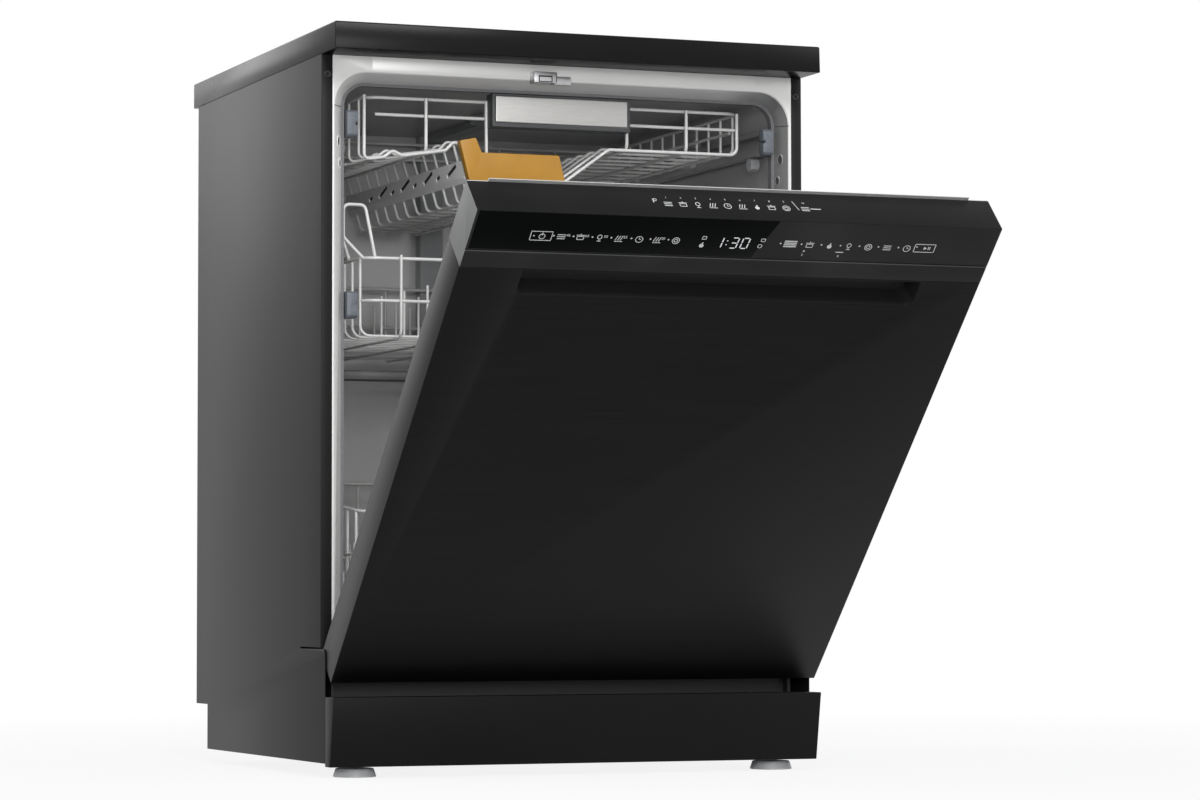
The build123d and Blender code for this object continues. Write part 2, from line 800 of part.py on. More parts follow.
def rack_rollers(z):
    """Rollers on short axles that carry a rack inside its two rails."""
    web = rail_outer - rail_sheet
    radius = rail_height / 2 - rail_sheet - seat_gap
    rollers = []
    for y in (roller_front, roller_back):
        wheel = rod_x(radius, (web - seat_gap - roller_width, web - seat_gap), y, z)
        axle = rod_x(wheel_axle_radius, (rack_half + wire / 2 + lap, web - seat_gap), y, z)
        rollers += both(wheel + axle)
    return rollers


def rails(z):
    """Two C-section rails, open towards the rack."""
    y = (rail_start, rail_start + rail_length)
    low, high = z - rail_height / 2, z + rail_height / 2
    channel = block((rail_inner, rail_outer), y, (low, high)) \
        - block((rail_inner - 1, rail_outer - rail_sheet), (y[0] - 1, y[1] + 1),
                (low + rail_sheet, high - rail_sheet))
    lips = [block((rail_inner, rail_inner + rail_sheet), y, (low, low + rail_lip)),
            block((rail_inner, rail_inner + rail_sheet), y, (high - rail_lip, high))]
    return both(channel + lips)


def rail_stops(z):
    """End caps pushed over the front ends of the rails."""
    y = (rail_start - stop_length, rail_start)
    reach = rail_height / 2 + stop_lip
    cap = block((rail_inner - 1, rail_outer), y, (z - reach, z + reach))
    slot = block((rail_inner - 2, rail_inner + 2), (y[0] - 1, y[1] + 1), (z - stop_lip, z + stop_lip))
    cap = chamfer(cap.edges().filter_by(Axis.X), 3) - slot
    return both(cap)


def tub_rollers():
    """Rollers on the tub's walls, below each rail in front and above it behind, that carry it out."""
    rollers = []
    for z in (third_rail_z, middle_rail_z):
        for y, side in ((rail_start + guide_front, -1), (rail_start + guide_back, 1)):
            height = z + side * (rail_height / 2 + guide_radius + seat_gap)
            wheel = rod_x(guide_radius, (rail_inner + rail_sheet, rail_outer), y, height)
            axle = rod_x(guide_axle_radius, (rail_outer, tub_half - guide_axle_gap), y, height, wire_sides)
            rollers += both(wheel + axle)
    return rollers


def middle_basket_wires():
    y = (rack_front, rack_back)
    inner = wire_end
    panels = [floor_grille(across(rack_half), y, middle_floor, floor_run_count, basket_bar_count)]
    for x in across(rack_half):
        rims = [(middle_rim, middle_rim), (middle_second, middle_second)]
        panels.append(side_grille(x, y, middle_floor + inner, rims, basket_bar_count))
    ends = (-rack_half + inner, rack_half - inner)
    for place, outward in ((rack_front, -1), (rack_back, 1)):
        panels.append(end_grille(ends, place, middle_floor + inner, [middle_rim, middle_second],
                                 spread(ends[0], ends[1], end_bar_count), outward))
    return panels


def comb(x_places, y, floor, top, half):
    """A cross wire with upright tines butt-welded on it, standing on a basket's long wires."""
    base = floor + flat + weld_gap
    face = Pos(0, base) * Rectangle(2 * half, flat)
    face += [Pos(x, (base + top) / 2) * Rectangle(flat, top - base) for x in x_places]
    return prism_y(face, (y - flat / 2, y + flat / 2))


def middle_basket_tines():
    places = spread(rack_front + wire, rack_back - wire, basket_bar_count)
    rows = [(first + second) / 2 for first, second in zip(places, places[1:])]
    reach = rack_half - middle_tine_margin
    tines = spread(-reach, reach, tine_count)
    return [comb(tines, y, middle_floor, middle_tine_top, rack_half - wire) for y in rows]


def cup_shelf():
    """The fold-down wire shelf along the middle basket's left side, drawn folded up."""
    foot = Vector(-rack_half, 0, middle_rim + flat / 2 + wire / 2 + seat_gap)
    head = foot + Vector(-shelf_lean, 0, shelf_height)
    lean = (head - foot).normalized()
    normal = (-lean.Z, 0, lean.X)
    runs = [((point.X, shelf_front, point.Z), (point.X, shelf_back, point.Z))
            for point in (foot, (foot + head) / 2, head)]
    start = foot - lean * (wire_join + seat_gap)
    bars = [((start.X, y, start.Z), (head.X, y, head.Z))
            for y in spread(shelf_front + wire, shelf_back - wire, 4)]
    return grille(runs, bars, normal)


def spray_manifold():
    top = middle_floor - flat / 2 - seat_gap
    back = tub_back - seat_gap - pipe_depth - seat_gap
    pipe = block(across(manifold_width / 2), (tub_middle, back), (top - manifold_height, top))
    hub = rod_z(hub_radius, 0, tub_middle, (upper_arm_bottom + arm_thickness + 3 + seat_gap, top))
    return pipe + hub


def lower_basket_wires():
    y = (lower_front, rack_back)
    inner = wire_end
    panels = [floor_grille(across(lower_half), y, lower_floor, floor_run_count, basket_bar_count)]
    for x in across(lower_half):
        rims = [(lower_rim_front, lower_rim_back), (lower_second, lower_second)]
        panels.append(side_grille(x, y, lower_floor + inner, rims, lower_bar_count))
    ends = (-lower_half + inner, lower_half - inner)
    for place, top, outward in ((lower_front, lower_rim_front, -1), (rack_back, lower_rim_back, 1)):
        panels.append(end_grille(ends, place, lower_floor + inner, [top, lower_second],
                                 spread(ends[0], ends[1], end_bar_count), outward))
    return panels


def lower_basket_tines():
    places = spread(lower_front + wire, rack_back - wire, basket_bar_count)
    gap = places[1] - places[0]
    rows = [place + gap * share for place in places[:-1] for share in (1 / 3, 2 / 3)]
    reach = lower_half - lower_tine_margin
    tines = spread(-reach, reach, tine_count)
    return [comb(tines, y, lower_floor, lower_tine_top, lower_half - wire) for y in rows]


def wheel_z():
    return tub_floor_top + seat_gap + wheel_radius


def wheel_x():
    low = lower_half + wire / 2 + lap + clip_stand
    return (low, low + wheel_width)


def wheel_clips():
    """Plastic clips on the basket's sides, each with the stub axle of one wheel."""
    clips = []
    start = lower_half + wire / 2 + lap
    for y in (wheel_front, wheel_back):
        pad = block((start, wheel_x()[0] - seat_gap), (y - clip_half, y + clip_half),
                    (wheel_z() - 2 * wheel_axle_radius, lower_second - clip_drop))
        axle = rod_x(wheel_axle_radius, (start, wheel_x()[1] + 1), y, wheel_z())
        clips += both(pad + axle)
    return clips


def wheel_pair(y):
    tyre = rod_x(wheel_radius, wheel_x(), y, wheel_z(), disc_sides)
    bore = rod_x(turning_hole(wheel_axle_radius), (wheel_x()[0] - 1, wheel_x()[1] + 2), y, wheel_z())
    dish = rod_x(wheel_radius - wheel_rim, (wheel_x()[1] - 2, wheel_x()[1] + 1), y, wheel_z()) \
        - rod_x(wheel_axle_radius + 4, (wheel_x()[1] - 3, wheel_x()[1] + 2), y, wheel_z())
    return both(tyre - bore - dish)


def recess_face(grow):
    low = console_bottom - recess_gap - recess_height
    face = Pos(0, low + recess_height / 2) * Rectangle(2 * (recess_half + grow), recess_height + 2 * grow)
    return fillet(face.vertices().sort_by(Axis.Y)[:2], recess_radius)


def door_outer_panel():
    top = console_bottom - seat_gap
    sheet = block(across(door_half), (door_front, door_front + door_sheet), (door_bottom, top))
    sides = both(block((door_half - door_sheet, door_half), (door_front, door_back), (door_bottom, top)))
    lip = block(across(hinge_clear_half - clip_stand), (door_front, door_back),
                (door_bottom, door_bottom + door_sheet))
    return sheet + sides + lip - prism_y(recess_face(0), (door_front - 1, door_front + 2 * door_sheet))


def hand_pocket():
    front = door_front + door_sheet
    shell = prism_y(recess_face(pocket_wall), (front, front + recess_depth + pocket_wall))
    over = block(across(door_half), (front - 1, door_back), (console_bottom - seat_gap, door_top))
    return shell - prism_y(recess_face(0), (front - 1, front + recess_depth)) - over


def glass_face(grow):
    low, high = console_bottom + strip_length + 2 * console_groove, door_top - console_groove
    left = -door_half + console_wall
    return Polygon((left - grow, low - grow), (glass_slant_bottom + grow, low - grow),
                   (glass_slant_top + grow, high + grow), (left - grow, high + grow), align=None)


def console_fascia():
    shell = block(across(door_half), (door_front, door_back), (console_bottom, door_top))
    hollow = block(across(door_half - console_wall), (door_front + console_wall, door_back + 1),
                   (console_bottom + console_wall, door_top - console_wall))
    seam = console_bottom + strip_length
    groove = block(across(half_width), (door_front - 1, door_front + console_groove),
                   (seam, seam + console_groove))
    seat = prism_y(glass_face(glass_gap), (door_front - 1, door_front + glass_thickness))
    return shell - hollow - groove - seat - latch_cut()


def latch_cut():
    return block((latch_x - latch_half, latch_x + latch_half + latch_side),
                 (door_back - latch_cut_depth, liner_back + 1),
                 (door_top - latch_drop, door_top - latch_roof))


def console_glass():
    return prism_y(glass_face(0), (door_front, door_front + glass_thickness))


def control_board():
    back = door_front + console_wall
    middle = (console_bottom + strip_length + door_top) / 2
    board = block((-board_left, board_right), (back + board_stand, back + board_stand + board_sheet),
                  (middle - board_half, middle + board_half))
    posts = [block((x - board_post, x + board_post), (back, back + board_stand),
                   (middle - board_post, middle + board_post))
             for x in spread(-board_left + 2 * board_stand, board_right - 2 * board_stand, 3)]
    return board + posts


def door_inner_liner():
    y = (door_back, liner_back)
    sheet = block(across(door_half - door_sheet), y, (hinge_clear_top, door_top)) \
        + block(across(hinge_clear_half), y, (door_bottom + frame_sill, hinge_clear_top)) \
        + block(across(door_half - liner_top_margin), y, (door_top, door_top + liner_rise))
    middle, height = (dish_low + dish_high) / 2, dish_high - dish_low
    outer = Pos(0, middle) * RectangleRounded(2 * dish_half, height, dish_radius)
    inner = Pos(0, middle) * RectangleRounded(2 * (dish_half - liner_sheet), height - 2 * liner_sheet,
                                              dish_radius - liner_sheet)
    sheet = sheet + prism_y(outer, (door_back, liner_back + dish_press)) \
        - prism_y(inner, (door_back - 1, liner_back + dish_press - liner_sheet))
    return sheet - dispenser_block(seat_gap, 2) - latch_cut()


def dispenser_block(grow, over):
    return block((dispenser_x - dispenser_width / 2 - grow, dispenser_x + dispenser_width / 2 + grow),
                 (liner_back + dish_press - dispenser_depth, liner_back + dish_press + over),
                 (dispenser_z - dispenser_height / 2 - grow, dispenser_z + dispenser_height / 2 + grow))


def lid_place():
    """The detergent lid's centre in x and z."""
    return dispenser_x - dispenser_width / 2 + lid_width / 2 + lid_margin, dispenser_z


def cap_place():
    return dispenser_x + dispenser_width / 2 - cap_radius - cap_margin, dispenser_z


def dispenser_body():
    face = liner_back + dish_press
    x, z = lid_place()
    cap_x, cap_z = cap_place()
    body = dispenser_block(0, 0)
    chamber = block((x - lid_width / 2 + lid_seat, x + lid_width / 2 - lid_seat),
                    (face - dispenser_depth + 3, face + 1),
                    (z - lid_height / 2 + lid_seat, z + lid_height / 2 - lid_seat))
    well = rod_y(cap_radius - 4, cap_x, (face - dispenser_depth + 3, face + 1), cap_z)
    return body - chamber - well


def detergent_lid():
    face = liner_back + dish_press + seat_gap
    x, z = lid_place()
    lid = block((x - lid_width / 2, x + lid_width / 2), (face, face + lid_thickness),
                (z - lid_height / 2, z + lid_height / 2))
    lid = chamfer(lid.edges().filter_by(Axis.Y), lid_seat)
    grip_low = z + lid_height / 2 - lid_grip_drop
    grip = block((x - lid_grip_half, x + lid_grip_half), (face + lid_thickness, face + 2 * lid_thickness),
                 (grip_low, grip_low + lid_grip_height))
    return lid + grip


def rinse_aid_cap():
    face = liner_back + dish_press + seat_gap
    x, z = cap_place()
    disc = rod_y(cap_radius, x, (face, face + 3), z)
    grip = block((x - cap_radius * grip_share, x + cap_radius * grip_share),
                 (face, face + cap_grip_rise), (z - cap_grip_rise / 2, z + cap_grip_rise / 2))
    return disc + grip


def door_latch():
    top = door_top - latch_drop
    case = block((latch_x - latch_half, latch_x + latch_half + latch_side),
                 (door_back - latch_depth, door_back), (top - latch_height, top))
    return case - block((latch_x - latch_mouth, latch_x + latch_mouth),
                        (door_back - latch_reach, door_back + 1), (top - latch_lip, top + 1))


def hinge_bracket_x():
    return (base_wall_outer, base_wall_outer + hinge_plate)


def hinge_arm_x():
    low = hinge_bracket_x()[1] + 1
    return (low, low + hinge_plate)


def hinge_brackets():
    plate = block(hinge_bracket_x(), (hinge_y, hinge_bracket_back),
                  (hinge_z - hinge_nose, hinge_z + hinge_nose))
    nose = rod_x(hinge_nose, hinge_bracket_x(), hinge_y, hinge_z)
    pin = rod_x(pin_radius, (hinge_bracket_x()[1], hinge_arm_x()[1] + 1), hinge_y, hinge_z, 0)
    return both(plate + nose + pin)


def hinge_arms():
    nose = rod_x(hinge_nose, hinge_arm_x(), hinge_y, hinge_z)
    back = hinge_y + hinge_arm_half
    plate = block(hinge_arm_x(), (hinge_y - hinge_arm_half, back), (hinge_z, hinge_z + hinge_arm_length))
    fold = block((hinge_arm_x()[0], door_half - door_sheet), (back - hinge_plate, back),
                 (hinge_z + hinge_fold_start, hinge_z + hinge_arm_length))
    bore_x = (hinge_arm_x()[0] - 1, hinge_arm_x()[1] + 1)
    bore = rod_x(pin_radius + pin_clearance, bore_x, hinge_y, hinge_z, 0)
    return both(plate + nose + fold - bore)


def door_springs():
    """Balance springs in the sides of the base, hooked behind the hinge brackets."""
    x = base_wall_outer + base_wall_space / 2 + 1
    radius = base_wall_space / 2 - spring_clear
    end = hinge_bracket_back + spring_length
    thick = (base_top + spring_height - spring_hook / 2, base_top + spring_height + spring_hook / 2)
    body = rod_y(radius, x, (hinge_bracket_back, end), base_top + spring_height)
    hook = block((base_wall_outer, x + spring_hook / 2), (end, end + spring_hook), thick)
    link = block((x - spring_hook / 2, x + spring_hook / 2),
                 (hinge_bracket_back - 2 * spring_hook, hinge_bracket_back), thick)
    return both(body + hook + link)


def cabinet_nodes():
    panel = side_panel()
    return {"worktop": worktop(), "side_panel_right": panel, "side_panel_left": mirror(panel, about=Plane.YZ),
            "rear_panel": rear_panel(), "base_tray": base_tray(), "plinth": plinth(), "tub_wrap": tub_wrap(),
            "tub_rear_wall": tub_rear_wall(), "tub_floor": tub_floor(), "tub_front_frame": tub_front_frame(),
            "door_gasket": door_gasket(), "door_strike": door_strike(), "sump": sump(),
            "filter_plate": filter_plate(), "softener_tank": softener_tank(),
            "circulation_pump": circulation_pump(), "drain_pump": drain_pump(), "inlet_valve": inlet_valve(),
            "feed_pipe": feed_pipe(), "hinge_brackets": hinge_brackets(),
            "door_springs": door_springs(), "tub_rollers": tub_rollers(),
            "filter_cylinder": filter_cylinder(), "salt_cap": salt_cap(),
            "lower_spray_arm": spray_arm(lower_arm_bottom)}


def rack_nodes():
    return {"third_rack_wires": third_rack_wires(), "cutlery_insert": cutlery_insert(),
            "third_rack_handle": third_rack_handle(), "third_rack_plate": third_rack_plate(),
            "zone_tab": zone_tab(), "third_rack_rollers": rack_rollers(third_rail_z),
            "third_rails": rails(third_rail_z), "third_rail_stops": rail_stops(third_rail_z),
            "middle_basket_wires": middle_basket_wires(), "middle_basket_tines": middle_basket_tines(),
            "cup_shelf": cup_shelf(), "spray_manifold": spray_manifold(),
            "middle_basket_rollers": rack_rollers(middle_rail_z), "middle_rails": rails(middle_rail_z),
            "middle_rail_stops": rail_stops(middle_rail_z), "upper_spray_arm": spray_arm(upper_arm_bottom),
            "lower_basket_wires": lower_basket_wires(), "lower_basket_tines": lower_basket_tines(),
            "wheel_clips": wheel_clips(), "wheels_front": wheel_pair(wheel_front),
            "wheels_rear": wheel_pair(wheel_back)}


def door_nodes():
    return {"door_outer_panel": door_outer_panel(), "hand_pocket": hand_pocket(),
            "console_fascia": console_fascia(), "console_glass": console_glass(),
            "control_board": control_board(),
            "door_inner_liner": door_inner_liner(), "dispenser_body": dispenser_body(),
            "detergent_lid": detergent_lid(), "rinse_aid_cap": rinse_aid_cap(), "door_latch": door_latch(),
            "hinge_arms": hinge_arms()}


os.makedirs("parts", exist_ok=True)
for node, shape in {**cabinet_nodes(), **rack_nodes()}.items():
    save(node, shape)
for node, (x, y) in foot_places().items():
    save(node, foot(x, y))
for node, shape in door_nodes().items():
    save(node, shape, open_door=True)
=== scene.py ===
import json
import math

import bmesh
import bpy
from mathutils import Matrix, Vector

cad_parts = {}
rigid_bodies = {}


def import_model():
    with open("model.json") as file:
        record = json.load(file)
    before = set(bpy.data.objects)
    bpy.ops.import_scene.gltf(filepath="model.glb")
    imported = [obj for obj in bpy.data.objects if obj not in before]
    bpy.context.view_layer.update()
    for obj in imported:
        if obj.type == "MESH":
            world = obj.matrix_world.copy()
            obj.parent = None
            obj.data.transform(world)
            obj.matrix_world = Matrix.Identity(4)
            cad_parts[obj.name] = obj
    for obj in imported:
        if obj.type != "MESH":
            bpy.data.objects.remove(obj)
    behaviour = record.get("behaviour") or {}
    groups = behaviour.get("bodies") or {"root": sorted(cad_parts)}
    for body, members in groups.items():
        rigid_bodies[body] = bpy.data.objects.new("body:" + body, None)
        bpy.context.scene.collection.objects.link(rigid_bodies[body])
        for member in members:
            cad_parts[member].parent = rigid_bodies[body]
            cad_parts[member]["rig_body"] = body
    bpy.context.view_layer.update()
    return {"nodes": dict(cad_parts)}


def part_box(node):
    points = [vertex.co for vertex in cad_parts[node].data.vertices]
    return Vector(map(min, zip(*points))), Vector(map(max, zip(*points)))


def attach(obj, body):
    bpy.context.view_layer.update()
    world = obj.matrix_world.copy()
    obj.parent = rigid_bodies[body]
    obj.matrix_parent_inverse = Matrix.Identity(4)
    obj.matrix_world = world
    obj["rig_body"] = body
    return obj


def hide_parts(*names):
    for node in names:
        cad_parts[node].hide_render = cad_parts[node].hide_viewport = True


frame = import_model()
nodes = frame["nodes"]
scene = bpy.context.scene
scene.view_settings.view_transform = "Standard"

# The worktop is a board faced with black laminate and edged all round in the same black.
# It lies on the two side panels and overhangs the door by a few millimetres.


class Signal:
    """A value on its way to a shader: sums on it add Math nodes."""

    def __init__(self, home, socket):
        self.home = home
        self.socket = socket

    def combine(self, operation, first, second):
        return self.home.node("ShaderNodeMath", {"operation": operation}, {0: first, 1: second})

    def __add__(self, other):
        return self.combine("ADD", self, other)

    def __radd__(self, other):
        return self.combine("ADD", other, self)

    def __sub__(self, other):
        return self.combine("SUBTRACT", self, other)

    def __rsub__(self, other):
        return self.combine("SUBTRACT", other, self)

    def __mul__(self, other):
        return self.combine("MULTIPLY", self, other)

    def __rmul__(self, other):
        return self.combine("MULTIPLY", other, self)

    def __gt__(self, other):
        return self.combine("GREATER_THAN", self, other)

    def __lt__(self, other):
        return self.combine("LESS_THAN", self, other)


class NodeTree:
    """The nodes of a finish or of the studio: every node comes from one method."""

    def __init__(self, tree):
        self.tree = tree

    def feed(self, socket, value):
        if isinstance(value, Signal):
            self.tree.links.new(value.socket, socket)
        else:
            socket.default_value = value

    def node(self, kind, settings, inputs, output=0):
        fresh = self.tree.nodes.new(kind)
        for key, value in settings.items():
            if key == "stops":
                while len(fresh.color_ramp.elements) < len(value):
                    fresh.color_ramp.elements.new(0.5)
                for element, (place, colour) in zip(fresh.color_ramp.elements, value):
                    element.position = place
                    element.color = (*colour, 1)
            else:
                setattr(fresh, key, value)
        for key, value in inputs.items():
            self.feed(fresh.inputs[key], value)
        return Signal(self, fresh.outputs[output])


class Finish(NodeTree):
    """A surface finish: one material and the patterns that lie on the piece."""

    def __init__(self, name):
        self.material = bpy.data.materials.new(name)
        self.material.use_nodes = True
        super().__init__(self.material.node_tree)
        self.surface = self.tree.nodes["Principled BSDF"]

    def place(self, stretch=(1, 1, 1), turn=(0, 0, 0)):
        spot = self.node("ShaderNodeTexCoord", {}, {}, "Object")
        return self.node("ShaderNodeMapping", {}, {"Vector": spot, "Scale": stretch, "Rotation": turn})

    def axis(self, name, spot=None):
        spot = spot or self.node("ShaderNodeTexCoord", {}, {}, "Object")
        return self.node("ShaderNodeSeparateXYZ", {}, {0: spot}, name)

    def noise(self, scale, detail, stretch=(1, 1, 1), roughness=0.5):
        return self.node("ShaderNodeTexNoise", {}, {"Vector": self.place(stretch), "Scale": scale,
                                                    "Detail": detail, "Roughness": roughness})

    def rise(self, value, start, end, lowest, highest):
        return self.node("ShaderNodeMapRange", {}, {"Value": value, "From Min": start, "From Max": end,
                                                    "To Min": lowest, "To Max": highest})

    def tint(self, amount, stops):
        return self.node("ShaderNodeValToRGB", {"stops": stops}, {0: amount})

    def mottled(self, amount, dark, light):
        return self.tint(amount, [(0.3, dark), (0.7, light)])

    def bump(self, height, depth, strength):
        return self.node("ShaderNodeBump", {}, {"Height": height, "Distance": depth, "Strength": strength})

    def shade(self, **sockets):
        for key, value in sockets.items():
            opaque = (*value, 1) if isinstance(value, tuple) else value
            self.feed(self.surface.inputs[key.replace("_", " ")], opaque)


def made(name, form, finishes, body, stands_for=None, crease=None):
    """A finished piece: its mesh, its finishes, the body it rides on and the solid it stands for."""
    mesh = bpy.data.meshes.new(name)
    form.to_mesh(mesh)
    form.free()
    if crease:
        mesh.polygons.foreach_set("use_smooth", [True] * len(mesh.polygons))
        mesh.set_sharp_from_angle(angle=math.radians(crease))
    for finish in finishes:
        mesh.materials.append(finish.material)
    piece = bpy.data.objects.new(name, mesh)
    scene.collection.objects.link(piece)
    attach(piece, body)
    if stands_for:
        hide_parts(stands_for)


def softened(node, finish, edge):
    """A copy of a solid with its sharp edges eased."""
    form = bmesh.new()
    form.from_mesh(nodes[node].data)
    bmesh.ops.remove_doubles(form, verts=form.verts, dist=2e-6)
    bmesh.ops.dissolve_limit(form, angle_limit=math.radians(0.5), verts=form.verts, edges=form.edges)
    sharp = [e for e in form.edges if len(e.link_faces) == 2 and e.calc_face_angle() > math.radians(38)]
    bmesh.ops.bevel(form, geom=sharp, offset=edge, affect="EDGES", segments=2, profile=0.5, material=-1,
                    clamp_overlap=True)
    made(node + "_eased", form, [finish], nodes[node]["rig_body"], node, crease=35)


laminate = Finish("black_laminate")
grain = laminate.noise(scale=900, detail=4)
cloud = laminate.noise(scale=6, detail=2)
laminate.shade(Base_Color=laminate.mottled(cloud, (0.002, 0.002, 0.0021), (0.003, 0.003, 0.0031)),
               Roughness=0.24 + cloud * 0.08, Specular_IOR_Level=0.12,
               Normal=laminate.bump(grain, 0.00004, 0.5))
softened("worktop", laminate, edge=0.0012)

# The side panels are folded steel sheet painted satin black, with a return flange down the front
# and a wing at the bottom that the door swings past. They screw to the worktop and the base.
panel_paint = Finish("satin_black_paint")
peel = panel_paint.noise(scale=420, detail=3)
cloud = panel_paint.noise(scale=4, detail=2)
panel_paint.shade(Base_Color=panel_paint.mottled(cloud, (0.0065, 0.0065, 0.0067), (0.0085, 0.0084, 0.0085)),
                  Roughness=0.42 + cloud * 0.06, Specular_IOR_Level=0.13,
                  Normal=panel_paint.bump(peel, 0.00003, 0.6))
for node in ("side_panel_left", "side_panel_right"):
    softened(node, panel_paint, edge=0.0005)

# The rear panel is plain zinc-coated sheet with pressed fields that stiffen it.
# It closes the back of the cabinet between the side panels.


def dress(node, finish):
    """A solid that keeps its own mesh and takes a finish."""
    mesh = nodes[node].data
    mesh.materials.clear()
    mesh.materials.append(finish.material)


zinc = Finish("zinc_coated_sheet")
spangle = zinc.node("ShaderNodeTexVoronoi", {}, {"Vector": zinc.place(), "Scale": 120.0}, "Color")
flake = zinc.node("ShaderNodeSeparateColor", {}, {0: spangle})
streak = zinc.noise(scale=8, detail=3, stretch=(6, 6, 60))
zinc.shade(Base_Color=zinc.tint(flake, [(0.0, (0.47, 0.48, 0.49)), (1.0, (0.53, 0.54, 0.55))]),
           Metallic=1.0, Roughness=0.36 + flake * 0.04 + streak * 0.08)
dress("rear_panel", zinc)

# The plinth is a folded black sheet that covers the base and the feet at the front.
# It clips to the base tray and leans back towards the floor.
plinth_paint = Finish("plinth_paint")
peel = plinth_paint.noise(scale=420, detail=3)
cloud = plinth_paint.noise(scale=5, detail=2)
plinth_paint.shade(Base_Color=plinth_paint.mottled(cloud, (0.004, 0.004, 0.004), (0.0055, 0.0055, 0.0055)),
                   Roughness=0.4 + cloud * 0.1, Specular_IOR_Level=0.08,
                   Normal=plinth_paint.bump(peel, 0.00003, 0.6))
softened("plinth", plinth_paint, edge=0.0008)

# The base tray is a dark moulding that carries the pumps and the tub and takes the three feet.
# Its drain spigot comes out at the back.
moulding = Finish("dark_moulding")
grit = moulding.noise(scale=700, detail=4)
cloud = moulding.noise(scale=12, detail=2)
moulding.shade(Base_Color=moulding.mottled(cloud, (0.004, 0.004, 0.0042), (0.006, 0.006, 0.0063)),
               Roughness=0.5 + grit * 0.15, Normal=moulding.bump(grit, 0.00005, 0.5))
dress("base_tray", moulding)

# Each foot is a grey nylon pad moulded on a threaded stem, screwed up into the base tray.
# Two stand under the front corners, and one wide foot stands at the rear.
nylon = Finish("grey_nylon")
grit = nylon.noise(scale=500, detail=4)
cloud = nylon.noise(scale=30, detail=2)
nylon.shade(Base_Color=nylon.mottled(cloud, (0.42, 0.43, 0.44), (0.5, 0.51, 0.52)),
            Roughness=0.42 + grit * 0.15, Normal=nylon.bump(grit, 0.00004, 0.5))
for node in ("foot_front_left", "foot_front_right", "foot_rear"):
    softened(node, nylon, edge=0.0012)

# The tub is satin stainless sheet: one wrap for the sides and the roof, a back wall and a floor.
# They are seam-welded together, and the front edge is welded to the front frame.
tub_steel = Finish("tub_steel")
brushed = tub_steel.noise(scale=22, detail=4, stretch=(4, 1, 90))
water = tub_steel.noise(scale=5, detail=3)
tub_steel.shade(Base_Color=tub_steel.mottled(water, (0.34, 0.34, 0.34), (0.42, 0.42, 0.415)),
                Metallic=0.5, Roughness=0.3 + brushed * 0.14, Normal=tub_steel.bump(brushed, 0.00003, 0.4))
for node in ("tub_wrap", "tub_rear_wall", "tub_floor"):
    dress(node, tub_steel)

# The front frame is a bright steel pressing that the door closes on, with a lip drawn in towards the tub.
# Shade is painted on the lip: all of it but its left side is darker, most of all down its right side.
frame_face = Finish("frame_face")
cloud = frame_face.noise(scale=18, detail=3)
fine = frame_face.noise(scale=20, detail=3, stretch=(60, 4, 4))
lip_start = -0.0066
lip = frame_face.axis("Y") > lip_start
across = frame_face.axis("X")
# Painted shade on the lip: none down its left side, some across the rest, and more down its right side.
painted_lip_shade = frame_face.rise(across, -0.275, -0.24, 0, 0.3)
painted_right_shade = frame_face.rise(across, 0.2, 0.27, 0, 0.42)
brightness = cloud * 0.1 + 0.9 - lip * (painted_lip_shade + painted_right_shade)
shaded_grey, plain, bright = (0.12, 0.12, 0.12), (0.4, 0.4, 0.395), (0.62, 0.615, 0.605)
frame_face.shade(Base_Color=frame_face.tint(brightness, [(0.25, shaded_grey), (0.65, plain), (0.95, bright)]),
                 Metallic=0.2, Roughness=0.3 + fine * 0.1)
softened("tub_front_frame", frame_face, edge=0.0005)

# Small fittings: two oval catches pressed in each side of the frame's lip, the lip's seam, a recessed screw
# in each side panel's front flange, and the plated screws that hold the rear panel to the rear flanges.
# The sunk middles of the catches and rear screws and the collar round each flange screw's head take a
# near-black finish of painted shade; the same finish colours the lip's seams.
painted_shade_and_seam = Finish("painted_shade_and_seam")
grit = painted_shade_and_seam.noise(scale=400, detail=2)
painted_shade_and_seam.shade(Base_Color=painted_shade_and_seam.mottled(grit, (0.008, 0.008, 0.008), (0.014, 0.014, 0.014)),
                Roughness=0.5 + grit * 0.1)
upright = Vector((0, 0, 1))


def axes(along_x, along_y, along_z):
    """The turn that lays x, y and z along three given directions."""
    return Matrix((along_x, along_y, along_z)).transposed().to_4x4()


def pressed_oval(form, place, width, height, out, rise):
    """A raised oval collar with a sunk middle, on a face that looks along out."""
    stand = (Matrix.Translation(Vector(place) + out * rise / 2) @ axes(upright.cross(out), upright, out)
             @ Matrix.Diagonal((width / 2, height / 2, 1, 1)))
    collar = bmesh.ops.create_cone(form, cap_ends=True, segments=20, radius1=1.0, radius2=0.8, depth=rise,
                                   matrix=stand)["verts"]
    top = max({face for corner in collar for face in corner.link_faces if len(face.verts) > 4},
              key=lambda face: face.calc_center_median().dot(out))
    bmesh.ops.inset_individual(form, faces=[top], thickness=width * 0.11, depth=-rise * 0.4)
    # The sunk middle takes the second finish, which for the catches and rear screws is painted shade.
    top.material_index = 1


def strip(form, centre, size, turn=Matrix()):
    """A straight strip of a given size, turned into place."""
    stand = Matrix.Translation(centre) @ turn @ Matrix.Diagonal((*size, 1))
    return bmesh.ops.create_cube(form, size=1.0, matrix=stand)["verts"]


def fitting(name, form, finishes):
    """Small details of the cabinet, made one piece."""
    bmesh.ops.recalc_face_normals(form, faces=form.faces)
    made(name, form, finishes, "cabinet")


